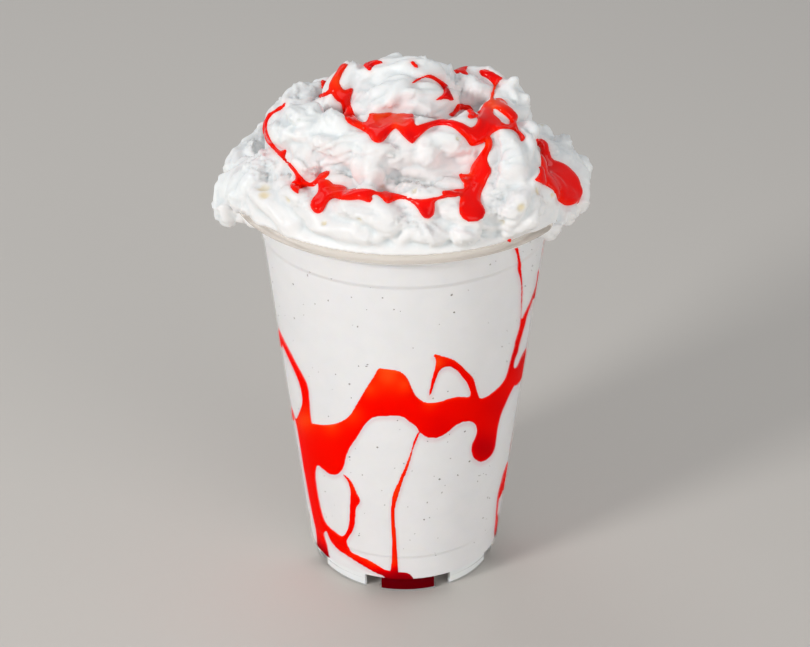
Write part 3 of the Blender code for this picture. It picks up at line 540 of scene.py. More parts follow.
def loop_depth(spots, outline, reach=SIGHT_REACH):
    """How far inside an outline each spot lies, from minus the reach to the reach."""
    depth = np.full(len(spots), -reach)
    low = outline.min(axis=0) - reach
    high = outline.max(axis=0) + reach
    near = np.flatnonzero(((spots > low) & (spots < high)).all(axis=1))
    near = near[np.argsort(spots[near, 1])]
    across, down = spots[near].T
    best = np.full(len(near), reach)
    inside = np.zeros(len(near), bool)
    for start, end in zip(outline, np.roll(outline, -1, axis=0)):
        top, bottom = sorted((start[1], end[1]))
        rows = slice(*np.searchsorted(down, (top - reach, bottom + reach)))
        edge = end - start
        right = across[rows] - start[0]
        under = down[rows] - start[1]
        share = np.clip((right * edge[0] + under * edge[1]) / (edge @ edge + 1e-12), 0, 1)
        gap = np.hypot(right - share * edge[0], under - share * edge[1])
        best[rows] = np.minimum(best[rows], gap)
        rows = slice(*np.searchsorted(down, (top, bottom)))
        if top < bottom:
            inside[rows] ^= across[rows] < start[0] + (down[rows] - start[1]) * edge[0] / edge[1]
    depth[near] = np.where(inside, best, -best)
    return depth


def run_depth(spots, run, reach=1.0):
    """How far inside a run of points with widths each spot lies, down to minus the reach."""
    depth = np.full(len(spots), -reach)
    for start, end in zip(run, run[1:]):
        edge = end[:2] - start[:2]
        share = np.clip(((spots - start[:2]) @ edge) / (edge @ edge + 1e-12), 0, 1)
        gap = spots - start[:2] - share[:, None] * edge
        half = (start[2] + share * (end[2] - start[2])) / 2
        depth = np.maximum(depth, half - np.hypot(gap[:, 0], gap[:, 1]))
    return depth


def new_object(name, mesh, look):
    """Adds an object to the scene, with a material if one is given."""
    obj = bpy.data.objects.new(name, mesh)
    bpy.context.scene.collection.objects.link(obj)
    if look:
        mesh.materials.append(look)
    return obj


def set_attribute(mesh, key, values):
    """Gives each point of a mesh a number, which its look reads."""
    mesh.attributes.new(key, "FLOAT", "POINT").data.foreach_set("value", values.astype(np.float32))


def pool_mesh(name, points, faces, depth_and_shade):
    """A smooth mesh of syrup from arrays, with how deep the syrup looks at each point, which holds its
    thickness and painted shade.
    """
    mesh = bpy.data.meshes.new(name)
    mesh.from_pydata(points.tolist(), [], faces.tolist())
    set_attribute(mesh, "depth_and_shade", depth_and_shade)
    mesh.shade_smooth()
    return mesh


def built_mesh(bm, name):
    """The finished mesh of a builder, which is then freed."""
    mesh = bpy.data.meshes.new(name)
    bm.to_mesh(mesh)
    bm.free()
    return mesh


def mesh_arrays(mesh):
    """The points, their normals and the triangles of a mesh."""
    count = len(mesh.vertices)
    points = np.empty(count * 3)
    mesh.vertices.foreach_get("co", points)
    mesh.calc_loop_triangles()
    triangles = np.empty(len(mesh.loop_triangles) * 3, np.int32)
    mesh.loop_triangles.foreach_get("vertices", triangles)
    normals = np.array([vert.normal for vert in mesh.vertices])
    return points.reshape(-1, 3), normals, triangles.reshape(-1, 3)


def edges_of(triangles):
    """Each edge once, as two points."""
    pairs = np.concatenate([triangles[:, [0, 1]], triangles[:, [1, 2]], triangles[:, [2, 0]]])
    return np.unique(np.sort(pairs, axis=1), axis=0)


def neighbour_mean(values, edges):
    """The mean of each point's neighbours, for one number or one row of numbers a point."""
    rows = values.reshape(len(values), -1)
    total = np.zeros_like(rows)
    count = np.bincount(edges.ravel(), minlength=len(rows))
    for column in range(rows.shape[1]):
        total[:, column] = (
            np.bincount(edges[:, 0], rows[edges[:, 1], column], len(rows))
            + np.bincount(edges[:, 1], rows[edges[:, 0], column], len(rows))
        )
    return (total / np.maximum(count, 1)[:, None]).reshape(values.shape)


def clipped(points, triangles, field, extra):
    """Keeps where the field is above nought, cut cleanly at nought, and carries rows of extra numbers."""
    inside = field > 0
    count = inside[triangles].sum(axis=1)
    kept = triangles[count == 3].tolist()
    rows = np.column_stack([points, field, extra])
    added = []
    cuts = {}

    def cut(a, b):
        key = (min(a, b), max(a, b))
        if key not in cuts:
            share = field[a] / (field[a] - field[b])
            added.append(rows[a] + share * (rows[b] - rows[a]))
            cuts[key] = len(rows) + len(added) - 1
        return cuts[key]

    for corners in triangles[(count == 1) | (count == 2)].tolist():
        while not (inside[corners[0]] and not inside[corners[2]]):
            corners = corners[1:] + corners[:1]
        a, b, c = corners
        if inside[b]:
            first, second = cut(b, c), cut(a, c)
            kept += [[a, b, first], [a, first, second]]
        else:
            kept.append([a, cut(a, b), cut(a, c)])
    rows = np.vstack([rows, added]) if added else rows
    kept = np.array(kept)
    used, index = np.unique(kept, return_inverse=True)
    rows = rows[used]
    return rows[:, :3], index.reshape(-1, 3), rows[:, 3], rows[:, 4:]


def border_edges(triangles):
    """The directed edges that only one triangle has."""
    pairs = np.concatenate([triangles[:, [0, 1]], triangles[:, [1, 2]], triangles[:, [2, 0]]])
    keys = np.sort(pairs, axis=1)
    _, index, count = np.unique(keys, axis=0, return_index=True, return_counts=True)
    return pairs[index[count == 1]]


def closed_skin(outer, inner, triangles):
    """A closed solid between two copies of an open surface."""
    count = len(outer)
    border = border_edges(triangles)
    walls = np.concatenate([
        np.column_stack([border[:, 1], border[:, 0], border[:, 0] + count]),
        np.column_stack([border[:, 1], border[:, 0] + count, border[:, 1] + count]),
    ])
    return np.vstack([outer, inner]), np.concatenate([triangles, triangles[:, ::-1] + count, walls])


def dome(depth, radius):
    """The height of a round-edged pool at a depth inside its outline, as a share of its radius."""
    share = np.clip(depth / radius, 0, 1)
    return np.sqrt(np.clip(1 - (1 - share) ** 2, 0, 1))


def keep_main_skin(mesh):
    """Drops loose scraps and the skins of sealed hollows."""
    _, _, triangles = mesh_arrays(mesh)
    label = np.arange(len(mesh.vertices))
    edges = edges_of(triangles)
    while True:
        low = np.minimum(label[edges[:, 0]], label[edges[:, 1]])
        before = label.copy()
        np.minimum.at(label, edges[:, 0], low)
        np.minimum.at(label, edges[:, 1], low)
        label = label[label]
        if (label == before).all():
            break
    main = np.bincount(label).argmax()
    bm = bmesh.new()
    bm.from_mesh(mesh)
    bm.verts.ensure_lookup_table()
    loose = [bm.verts[int(k)] for k in np.flatnonzero(label != main)]
    bmesh.ops.delete(bm, geom=loose, context="VERTS")
    bm.to_mesh(mesh)
    bm.free()


def applied(obj):
    """Puts the result of an object's modifiers in their place."""
    graph = bpy.context.evaluated_depsgraph_get()
    mesh = bpy.data.meshes.new_from_object(obj.evaluated_get(graph))
    obj.modifiers.clear()
    obj.data = mesh


def rounded_profile(corners, steps=5):
    """A profile whose corners are cut round. Each corner is a radius, a height and how far the curve
    reaches along its sides."""
    places = [np.array(corner[:2]) for corner in corners]
    made = []
    for k, corner in enumerate(corners):
        here = places[k]
        reach = corner[2]
        if not reach:
            made.append(here)
            continue
        before = places[k - 1] - here
        after = places[(k + 1) % len(places)] - here
        start = here + before / np.linalg.norm(before) * min(reach, np.linalg.norm(before) / 2)
        end = here + after / np.linalg.norm(after) * min(reach, np.linalg.norm(after) / 2)
        for t in np.linspace(0, 1, steps):
            made.append((1 - t) ** 2 * start + 2 * (1 - t) * t * here + t * t * end)
    return [tuple(place) for place in made]


def turned_mesh(name, profile, sides):
    """A closed mesh from a profile turned round +Z. In the right half of the XZ plane the profile runs
    up its outer side, and down its inner side or along the axis."""
    bm = bmesh.new()
    angles = [2 * math.pi * k / sides for k in range(sides)]
    rings = []
    for radius, height in profile:
        if radius < 1e-6:
            rings.append([bm.verts.new((0, 0, height))] * sides)
        else:
            places = [(radius * math.cos(a), radius * math.sin(a), height) for a in angles]
            rings.append([bm.verts.new(place) for place in places])
    for lower, upper in zip(rings, rings[1:] + rings[:1]):
        for k in range(sides):
            corners = [lower[k], lower[(k + 1) % sides], upper[(k + 1) % sides], upper[k]]
            corners = list(dict.fromkeys(corners))
            if len(corners) > 2:
                bm.faces.new(corners)
    bmesh.ops.recalc_face_normals(bm, faces=bm.faces)
    return built_mesh(bm, name)


def wall_radius(height):
    """The cup's outer radius at a height between the body's bottom and the neck."""
    heights = [BODY_HEIGHT, STEP_HEIGHT, STEP_TOP, RING_HEIGHT, RING_TOP, NECK_HEIGHT]
    radii = [BODY_RADIUS, STEP_RADIUS, STEP_RADIUS + RING_STEP, RING_RADIUS]
    radii += [RING_RADIUS + RING_STEP, NECK_RADIUS]
    return np.interp(height, heights, radii)


def lip_corners(grow=0.0):
    """The flared lip and its rolled edge, from the neck's outside over the top to the neck's inside."""
    middle = (RIM_RADIUS - CURL, RIM_HEIGHT - CURL)
    curl = CURL + grow
    corners = [(NECK_RADIUS + grow, NECK_HEIGHT + 0.2 * MM - grow, 0.5 * MM)]
    for degrees in range(-70, 131, 20):
        turn = math.radians(degrees)
        corners.append((middle[0] + curl * math.cos(turn), middle[1] + curl * math.sin(turn), 0))
    corners.append((NECK_RADIUS + FLARE - grow, NECK_HEIGHT + FLARE_RISE + grow, 1.0 * MM))
    corners.append((NECK_RADIUS - WALL - grow, NECK_HEIGHT + grow, 0.5 * MM))
    return corners


def cup_corners():
    """The cup's whole section, up its outside, over the lip, down its inside and under the foot."""
    outer = [
        (FOOT_RADIUS - 0.5 * MM, 0.0, BEAD),
        (FOOT_RADIUS, 0.5 * MM, BEAD),
        (FOOT_RADIUS, BODY_HEIGHT - 1.2 * MM, BEAD),
        (BODY_RADIUS - 0.6 * MM, BODY_HEIGHT - 0.5 * MM, BEAD),
        (BODY_RADIUS, BODY_HEIGHT + 0.6 * MM, BEAD),
    ]
    steps = (STEP_HEIGHT, STEP_TOP, RING_HEIGHT, RING_TOP)
    outer += [(float(wall_radius(h)), h, STEP_BEAD) for h in steps]
    inner = [(float(wall_radius(h)) - WALL, h, STEP_BEAD) for h in reversed(steps)]
    inner += [(BODY_RADIUS - WALL, FLOOR_HEIGHT, 1.0 * MM), (0.0, FLOOR_HEIGHT, 0)]
    inside_foot = FOOT_RADIUS - FOOT_WIDTH
    under = [(0.0, BASE_HEIGHT, 0), (inside_foot, BASE_HEIGHT, BEAD), (inside_foot, 0.0, BEAD)]
    return outer + lip_corners() + inner + under


def notch_cutter():
    """Small blocks that leave the foot ring standing on separate lugs."""
    bm = bmesh.new()
    for k in range(NOTCHES):
        turn = 2 * math.pi * k / NOTCHES + NOTCH_TURN
        made = bmesh.ops.create_cube(bm, size=1.0)["verts"]
        bmesh.ops.scale(bm, vec=(3 * FOOT_WIDTH, NOTCH_WIDTH, 2 * NOTCH_HEIGHT), verts=made)
        bmesh.ops.translate(bm, vec=(FOOT_RADIUS - FOOT_WIDTH / 2, 0, 0), verts=made)
        turning = ((math.cos(turn), -math.sin(turn), 0), (math.sin(turn), math.cos(turn), 0), (0, 0, 1))
        for vert in made:
            vert.co = Vector([sum(row[i] * vert.co[i] for i in range(3)) for row in turning])
    return built_mesh(bm, "notches")


def cut_by(obj, cutter_mesh, solver):
    """Cuts the shape of a mesh out of an object."""
    cutter = new_object(obj.name + "_cutter", cutter_mesh, None)
    cut = obj.modifiers.new("cut", "BOOLEAN")
    cut.operation = "DIFFERENCE"
    cut.solver = solver
    cut.object = cutter
    applied(obj)
    bpy.data.objects.remove(cutter)


def new_material(name):
    """A material with a Principled shader, and that shader."""
    made = bpy.data.materials.new(name)
    made.use_nodes = True
    return made, made.node_tree.nodes["Principled BSDF"]


def noise_node(tree, scale, detail, roughness=0.5):
    """Soft noise in the object's own space."""
    place = tree.nodes.new("ShaderNodeTexCoord")
    made = tree.nodes.new("ShaderNodeTexNoise")
    made.inputs["Scale"].default_value = scale
    made.inputs["Detail"].default_value = detail
    made.inputs["Roughness"].default_value = roughness
    tree.links.new(place.outputs["Object"], made.inputs["Vector"])
    return made.outputs["Fac"]


def ramp_node(tree, value, stops):
    """Colours or greys along a value. Each stop is a place and a colour."""
    ramp = tree.nodes.new("ShaderNodeValToRGB")
    while len(ramp.color_ramp.elements) < len(stops):
        ramp.color_ramp.elements.new(0.5)
    for element, (place, colour) in zip(ramp.color_ramp.elements, stops):
        element.position = place
        element.color = (*colour, 1.0)
    tree.links.new(value, ramp.inputs["Fac"])
    return ramp.outputs["Color"]


def attribute_node(tree, name):
    """A number that the mesh has at each point."""
    made = tree.nodes.new("ShaderNodeAttribute")
    made.attribute_name = name
    return made.outputs["Fac"]


def mix_node(tree, share, first, second):
    """Mixes two colours. Each is a socket or three numbers."""
    mix = tree.nodes.new("ShaderNodeMix")
    mix.data_type = "RGBA"
    tree.links.new(share, mix.inputs["Factor"])
    for socket, colour in ((mix.inputs[6], first), (mix.inputs[7], second)):
        if isinstance(colour, tuple):
            socket.default_value = (*colour, 1.0)
        else:
            tree.links.new(colour, socket)
    return mix.outputs[2]


def grey(value):
    """The grey of a value."""
    return (value, value, value)


def add_bump(tree, shader, height, strength, distance):
    """Bump that is too fine for the mesh."""
    bump = tree.nodes.new("ShaderNodeBump")
    bump.inputs["Strength"].default_value = strength
    bump.inputs["Distance"].default_value = distance
    tree.links.new(height, bump.inputs["Height"])
    tree.links.new(bump.outputs["Normal"], shader.inputs["Normal"])


def clear_plastic():
    """Clear plastic that lets lamps shine through, with faint smudges and waves from moulding. It looks
    milky at the rolled rim, where it is thick, and its beige tint there is painted reflection of warm
    surroundings."""
    made, shader = new_material("clear_plastic")
    tree = made.node_tree
    place = tree.nodes.new("ShaderNodeTexCoord")
    split = tree.nodes.new("ShaderNodeSeparateXYZ")
    tree.links.new(place.outputs["Object"], split.inputs["Vector"])
    scaled = tree.nodes.new("ShaderNodeMapRange")
    scaled.inputs["From Max"].default_value = RIM_HEIGHT
    tree.links.new(split.outputs["Z"], scaled.inputs["Value"])
    level = scaled.outputs["Result"]
    neck = (NECK_HEIGHT - 0.3 * MM) / RIM_HEIGHT
    above_neck = (NECK_HEIGHT + 1.0 * MM) / RIM_HEIGHT
    clear = (0.985, 0.98, 0.97)
    # Milky at the rim, with a beige tint that is painted warm reflection
    milky_with_reflection = (0.92, 0.83, 0.74)
    tints = [(neck, clear), (above_neck, milky_with_reflection)]
    tree.links.new(ramp_node(tree, level, tints), shader.inputs["Base Color"])
    clearness = [(neck, grey(1.0)), (above_neck, grey(0.35))]
    tree.links.new(ramp_node(tree, level, clearness), shader.inputs["Transmission Weight"])
    shader.inputs["IOR"].default_value = 1.12
    shader.inputs["Specular IOR Level"].default_value = 0.4
    smudges = noise_node(tree, 60.0, 3.0)
    gloss = ramp_node(tree, smudges, [(0.35, grey(0.06)), (0.7, grey(0.14))])
    tree.links.new(gloss, shader.inputs["Roughness"])
    waves = noise_node(tree, 40.0, 1.0)
    add_bump(tree, shader, waves, 0.02, 0.4 * MM)
    path = tree.nodes.new("ShaderNodeLightPath")
    open_way = tree.nodes.new("ShaderNodeBsdfTransparent")
    thin = [(neck, grey(0.8)), (above_neck, grey(0.25))]
    open_share = tree.nodes.new("ShaderNodeMath")
    open_share.operation = "MAXIMUM"
    tree.links.new(path.outputs["Is Shadow Ray"], open_share.inputs[0])
    tree.links.new(ramp_node(tree, level, thin), open_share.inputs[1])
    mix = tree.nodes.new("ShaderNodeMixShader")
    tree.links.new(open_share.outputs["Value"], mix.inputs[0])
    tree.links.new(shader.outputs["BSDF"], mix.inputs[1])
    tree.links.new(open_way.outputs["BSDF"], mix.inputs[2])
    tree.links.new(mix.outputs["Shader"], tree.nodes["Material Output"].inputs["Surface"])
    return made


def shake_look():
    """Thick off-white drink with a faint mottle, blushed by the syrup beside it."""
    made, shader = new_material("shake")
    tree = made.node_tree
    mottle = noise_node(tree, 160.0, 4.0)
    base = ramp_node(tree, mottle, [(0.3, (0.80, 0.825, 0.825)), (0.7, (0.83, 0.85, 0.85))])
    blush = attribute_node(tree, "blush")
    colour = mix_node(tree, blush, base, (0.72, 0.40, 0.46))
    tree.links.new(colour, shader.inputs["Base Color"])
    shader.inputs["Roughness"].default_value = 0.45
    shader.inputs["Subsurface Weight"].default_value = 0.3
    shader.inputs["Subsurface Radius"].default_value = (0.9, 0.7, 0.5)
    shader.inputs["Subsurface Scale"].default_value = 1.0 * MM
    return made


def syrup_look(name, level, bump):
    """Syrup that is orange-red where thin, bright red where thicker, and dark red where it pools and where
    shade is painted on it.
    """
    made, shader = new_material(name)
    tree = made.node_tree
    depth_and_shade = attribute_node(tree, "depth_and_shade")
    # From a thin orange film to the darkest red, which stands for a deep pool and for painted shade
    shades = [(0.0, (1.0, 0.062, 0.006)), (0.2, (1.0, 0.022, 0.001)), (0.42, (0.95, 0.002, 0.0)),
              (0.62, (0.72, 0.0, 0.001)), (0.85, (0.36, 0.0, 0.003)), (1.0, (0.12, 0.0, 0.002))]
    tree.links.new(ramp_node(tree, depth_and_shade, shades), shader.inputs["Base Color"])
    streaks = noise_node(tree, 220.0, 2.0)
    gloss = ramp_node(tree, streaks, [(0.3, grey(0.03)), (0.8, grey(0.08))])
    tree.links.new(gloss, shader.inputs["Roughness"])
    shader.inputs["IOR"].default_value = 1.42
    shader.inputs["Specular IOR Level"].default_value = level
    add_bump(tree, shader, noise_node(tree, 140.0, 1.0), bump, 0.5 * MM)
    return made


def speck_look():
    """The tiny dark seeds of vanilla in the drink."""
    made, shader = new_material("vanilla_specks")
    tree = made.node_tree
    tone = noise_node(tree, 300.0, 2.0)
    shades = [(0.3, (0.16, 0.145, 0.13)), (0.7, (0.40, 0.37, 0.34))]
    tree.links.new(ramp_node(tree, tone, shades), shader.inputs["Base Color"])
    shader.inputs["Roughness"].default_value = 0.6
    return made


def cream_look():
    """Whipped cream: soft, slightly wet, finely aerated, with creamy pits, painted bluish-grey shade in its
    creases, a pink stain beside the syrup and painted red bounce light from it in front.
    """
    made, shader = new_material("whipped_cream")
    tree = made.node_tree
    mottle = noise_node(tree, 90.0, 3.0)
    base = ramp_node(tree, mottle, [(0.3, (0.88, 0.905, 0.90)), (0.7, (0.91, 0.93, 0.925))])
    pits = attribute_node(tree, "pit")
    warmed = mix_node(tree, pits, base, (0.82, 0.74, 0.50))
    # The syrup's pink stain, and painted red light bounced from the syrup
    stain_and_bounce = attribute_node(tree, "stain_and_bounce")
    stained_and_bounce_lit = mix_node(tree, stain_and_bounce, warmed, (0.93, 0.45, 0.38))
    # Painted bluish-grey shade in the creases of the folds
    colour = mix_node(tree, attribute_node(tree, "crease_shade"), stained_and_bounce_lit, (0.73, 0.775, 0.785))
    tree.links.new(colour, shader.inputs["Base Color"])
    sheen = noise_node(tree, 300.0, 3.0)
    gloss = ramp_node(tree, sheen, [(0.3, grey(0.38)), (0.75, grey(0.56))])
    tree.links.new(gloss, shader.inputs["Roughness"])
    shader.inputs["Specular IOR Level"].default_value = 0.38
    shader.inputs["Subsurface Weight"].default_value = 0.25
    shader.inputs["Subsurface Radius"].default_value = (1.0, 0.9, 0.8)
    shader.inputs["Subsurface Scale"].default_value = 0.8 * MM
    add_bump(tree, shader, noise_node(tree, 900.0, 4.0, 0.6), 0.10, 0.3 * MM)
    return made


def stand_for(obj, node):
    """Says which node of the frame a piece replaces."""
    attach(obj, ROOT)
    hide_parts(node)


def placed(name, mesh, look, node):
    """Adds a piece that replaces a node of the frame."""
    stand_for(new_object(name, mesh, look), node)


def make_cup(look):
    """The clear cup, with notches between the lugs of its foot."""
    mesh = turned_mesh("clear_cup", rounded_profile(cup_corners()), CUP_SIDES)
    cup = new_object("clear_cup", mesh, look)
    cut_by(cup, notch_cutter(), "EXACT")
    cup.data.shade_smooth()
    cup.data.set_sharp_from_angle(angle=SHARP_TURN)
    stand_for(cup, "cup")


def wall_field(points):
    """How far inside the wall's syrup each point lies, in millimetres. In front it follows the outlines.
    Past the edge that the eye sees it tapers off, and it joins the runs behind."""
    radius = np.hypot(points[:, 0], points[:, 1])
    edge = np.degrees(np.arcsin(radius / EYE[1]))
    turn = np.degrees(np.arctan2(points[:, 1], points[:, 0]))
    turn = np.where(turn < -90, turn + 360, turn)
    past = np.clip(np.where(turn < 90, turn - edge, 180 - edge - turn), 0, None)
    drawn = np.radians(np.where(turn < 90, turn - past, turn + past))
    before = np.column_stack([radius * np.cos(drawn), radius * np.sin(drawn), points[:, 2]])
    spots, scale = seen(before)
    front = np.full(len(points), -9.0)
    for parts in WALL_SAUCES:
        depth = loop_depth(spots, outline_of(parts)) / scale / MM
        front = np.maximum(front, depth)
    front = front - EDGE_TAPER * np.radians(past) * radius / MM
    middle_turn = 90.0
    reach = np.radians(turn - middle_turn) * radius / MM
    spots = np.column_stack([reach, points[:, 2] / MM])
    back = np.full(len(points), -9.0)
    for run in BACK_RUNS.values():
        fine = smooth_run(run, 8)
        fine_radius = wall_radius(fine[:, 1] * MM) / MM
        fine[:, 0] = np.radians(fine[:, 0] - middle_turn) * fine_radius
        back = np.maximum(back, run_depth(spots, fine))
    return np.maximum(front, back)


def wall_grid(sides, heights, into_wall):
    """Points, outward directions and faces of a fine tube that reaches into the cup's wall."""
    turns = np.arange(sides) * 2 * math.pi / sides
    radii = wall_radius(heights) - WALL + into_wall
    outward = np.column_stack([np.cos(turns), np.sin(turns), np.zeros(sides)])
    points = (outward[None, :, :] * radii[:, None, None]).reshape(-1, 3)
    points[:, 2] = np.repeat(heights, sides)
    directions = np.tile(outward, (len(heights), 1))
    columns = np.arange(sides)
    after = (columns + 1) % sides
    faces = []
    for row in range(len(heights) - 1):
        low = row * sides
        high = low + sides
        faces.append(np.column_stack([low + columns, low + after, high + after]))
        faces.append(np.column_stack([low + columns, high + after, high + columns]))
    return points, directions, np.concatenate(faces)


def shaded(spots, shades, plain):
    """How deep the syrup looks at each spot of the picture, from its thickness and painted shade. It also
    blends the cream's painted bounce light.
    """
    depth = np.full(len(spots), plain)
    for right, down, reach, value in shades:
        gap = np.hypot(spots[:, 0] - right, spots[:, 1] - down)
        depth += (value - depth) * np.exp(-(gap / reach) ** 2)
    return depth


def make_shake(look):
    """The drink, blushed beside the syrup."""
    bottom = FLOOR_HEIGHT - SHAKE_INTO_WALL
    heights = np.unique(np.concatenate([
        np.linspace(bottom + 0.4 * MM, NECK_HEIGHT, SHAKE_ROWS),
        [STEP_HEIGHT, STEP_TOP, RING_HEIGHT, RING_TOP],
    ]))
    side = [(float(wall_radius(h)) - WALL + SHAKE_INTO_WALL, float(h)) for h in heights]
    profile = [(0.0, bottom), (side[0][0] - FLOOR_EDGE, bottom)] + side
    flare = NECK_RADIUS + FLARE + SHAKE_INTO_WALL
    profile += [(flare, SHAKE_LEVEL - SHAKE_INTO_WALL), (flare, SHAKE_LEVEL), (0.0, SHAKE_LEVEL)]
    mesh = turned_mesh("shake", profile, SHAKE_SIDES)
    points, _, _ = mesh_arrays(mesh)
    above = wall_field(points + np.array((0, 0, BLUSH_DROP)))
    set_attribute(mesh, "blush", BLUSH * np.exp(-np.clip(-above, 0, 9) / BLUSH_REACH))
    mesh.shade_smooth()
    mesh.set_sharp_from_angle(angle=SHARP_TURN)
    placed("shake", mesh, look, "milkshake")


def lug_mesh(name, lugs):
    """The filling of some of the hollow lugs that the foot stands on."""
    bm = bmesh.new()
    low, high = 0.5 * MM, FLOOR_HEIGHT - 0.05 * MM
    inner, outer = FOOT_RADIUS - FOOT_WIDTH + 0.5 * MM, FOOT_RADIUS - 0.45 * MM
    edge = 0.4 * MM
    section = [(inner, low + edge), (inner + edge, low), (outer - edge, low), (outer, low + edge),
               (outer, high), (inner, high)]
    margin = (NOTCH_WIDTH / 2 + 0.5 * MM) / FOOT_RADIUS
    for lug in lugs:
        start = 2 * math.pi * lug / NOTCHES + NOTCH_TURN + margin
        end = 2 * math.pi * (lug + 1) / NOTCHES + NOTCH_TURN - margin
        rings = []
        for turn in np.linspace(start, end, 20):
            rings.append([bm.verts.new((r * math.cos(turn), r * math.sin(turn), z)) for r, z in section])
        for first, second in zip(rings, rings[1:]):
            for k in range(len(section)):
                after = (k + 1) % len(section)
                bm.faces.new((first[k], first[after], second[after], second[k]))
        bm.faces.new(rings[0])
        bm.faces.new(rings[-1])
    bmesh.ops.recalc_face_normals(bm, faces=bm.faces)
    return built_mesh(bm, name)


def make_foot_filling(shake, syrup):
    """The drink and the syrup inside the lugs. One lug, in front, is full of syrup, at the darkest red,
    which is a thick pool with painted shade.
    """
    white = [lug for lug in range(NOTCHES) if lug != SYRUP_LUG]
    placed("shake_in_foot", lug_mesh("shake_in_foot", white), shake, "milkshake")
    mesh = lug_mesh("syrup_in_foot", [SYRUP_LUG])
    # The darkest red: thick syrup, and painted shade under the cup
    set_attribute(mesh, "depth_and_shade", np.ones(len(mesh.vertices)))
    placed("syrup_in_foot", mesh, syrup, "milkshake")


def make_wall_syrup(look):
    """The syrup that runs down between the drink and the wall, pressed flat against the plastic."""
    heights = np.arange(FLOOR_HEIGHT + 0.2 * MM, NECK_HEIGHT, SYRUP_STEP)
    points, outward, faces = wall_grid(SYRUP_SIDES, heights, 0.0)
    field = wall_field(points)
    points, faces, field, outward = clipped(points, faces, field, outward)
    outward /= np.linalg.norm(outward, axis=1)[:, None]
    rise = SYRUP_INTO_WALL * dome(field, SYRUP_EDGE)
    spots, _ = seen(points)
    above = wall_field(points + np.array((0, 0, TOP_REACH)))
    depth_and_shade = shaded(spots, WALL_SHADES, PLAIN_SHADE) - TOP_THINNING * np.clip(-above, 0, 1)
    depth_and_shade = np.where(outward[:, 1] < 0.3, depth_and_shade, PLAIN_SHADE)
    # Darker towards the bottom: a thick pool, and painted shade round the foot
    depth_and_shade += (BASE_SHADE - depth_and_shade) * np.clip((BASE_POOL_AND_SHADE_HEIGHT - points[:, 2]) / BASE_POOL_AND_SHADE_BLEND, 0, 1)
    outer = points + outward * rise[:, None]
    inner = points - outward * SYRUP_SUNK
    solid, faces = closed_skin(outer, inner, faces)
    mesh = pool_mesh("wall_syrup", solid, faces, np.tile(np.clip(depth_and_shade, 0, 1), 2))
    placed("wall_syrup", mesh, look, "milkshake")


def make_specks(look):
    """Tiny flat flecks at the drink's skin, all the way round."""
    draw = np.random.default_rng(SPECK_SEED)
    turns = draw.uniform(0, 2 * math.pi, SPECKS)
    heights = draw.uniform(SPECK_LOW, SPECK_HIGH, SPECKS)
    outward = np.column_stack([np.cos(turns), np.sin(turns), np.zeros(SPECKS)])
    places = outward * (wall_radius(heights) - WALL + SHAKE_INTO_WALL)[:, None]
    places[:, 2] = heights
    clear = wall_field(places) < -0.5
    bm = bmesh.new()
    for place, turn in zip(places[clear], turns[clear]):
        length = (0.14 + 0.24 * draw.random() ** 2) * MM
        made = bmesh.ops.create_icosphere(bm, subdivisions=2, radius=1.0)["verts"]
        bmesh.ops.scale(bm, vec=(SPECK_THICK, length, length * draw.uniform(0.5, 1.0)), verts=made)
        roll = draw.uniform(0, math.pi)
        for vert in made:
            x, y, z = vert.co * (1 + 0.25 * draw.uniform(-1, 1))
            y, z = y * math.cos(roll) - z * math.sin(roll), y * math.sin(roll) + z * math.cos(roll)
            out = x * math.cos(turn) - y * math.sin(turn)
            side = x * math.sin(turn) + y * math.cos(turn)
            vert.co = Vector((out, side, z)) + Vector(place)
    mesh = built_mesh(bm, "vanilla_specks")
    mesh.shade_smooth()
    placed("vanilla_specks", mesh, look, "milkshake")


def ring_run(ring, points):
    """The closed middle line of a ring of piped cream, with its thickness, in millimetres."""
    made = []
    for k in range(points):
        turn = 2 * math.pi * k / points
        swell = 1 + 0.05 * math.sin(3 * turn + 0.7) + 0.04 * math.sin(7 * turn)
        deep = ring["middle"] + ring["deep"] * math.sin(turn)
        height = ring["height"] + ring["tilt"] * deep + 0.7 * math.sin(5 * turn + 1.3)
        height -= ring["sag"] * math.cos(turn) ** 2
        made.append((ring["shift"] + ring["across"] * math.cos(turn), deep, height, ring["thick"] * swell))
    return np.array(made)


def petal(angle):
    """How far a star nozzle's rope swells at an angle round it: round petals with sharp creases between."""
    return PETAL_DEPTH * (abs(math.sin(PETALS * angle / 2)) - PETAL_MEAN)


def crumple(distance, angle, thick, seed):
    """How far a rope swells at a place on its skin: uneven round lumps with sharp creases between."""
    place = Vector((distance / CRUMPLE_LENGTH, thick * math.cos(angle) / CRUMPLE_ROUND,
                    thick * math.sin(angle) / CRUMPLE_ROUND))
    place += Vector((0, 0, 7.3 * seed))
    bent = place + 0.5 * noise.noise_vector(place * 0.7)
    return CRUMPLE * (min(abs(noise.noise(bent * 1.3)), 0.48) - 0.22)


def ruffle(distance, angle, thick, seed):
    """The nozzle's finer grooves, which run along the rope and break off here and there."""
    place = Vector((distance / RUFFLE_LENGTH, thick * math.cos(angle) / RUFFLE_ROUND,
                    thick * math.sin(angle) / RUFFLE_ROUND))
    place += Vector((3.1 * seed, 0, 0))
    bent = place + 0.4 * noise.noise_vector(place * 0.6)
    return RUFFLE * (min(abs(noise.noise(bent)), 0.4) - 0.16)


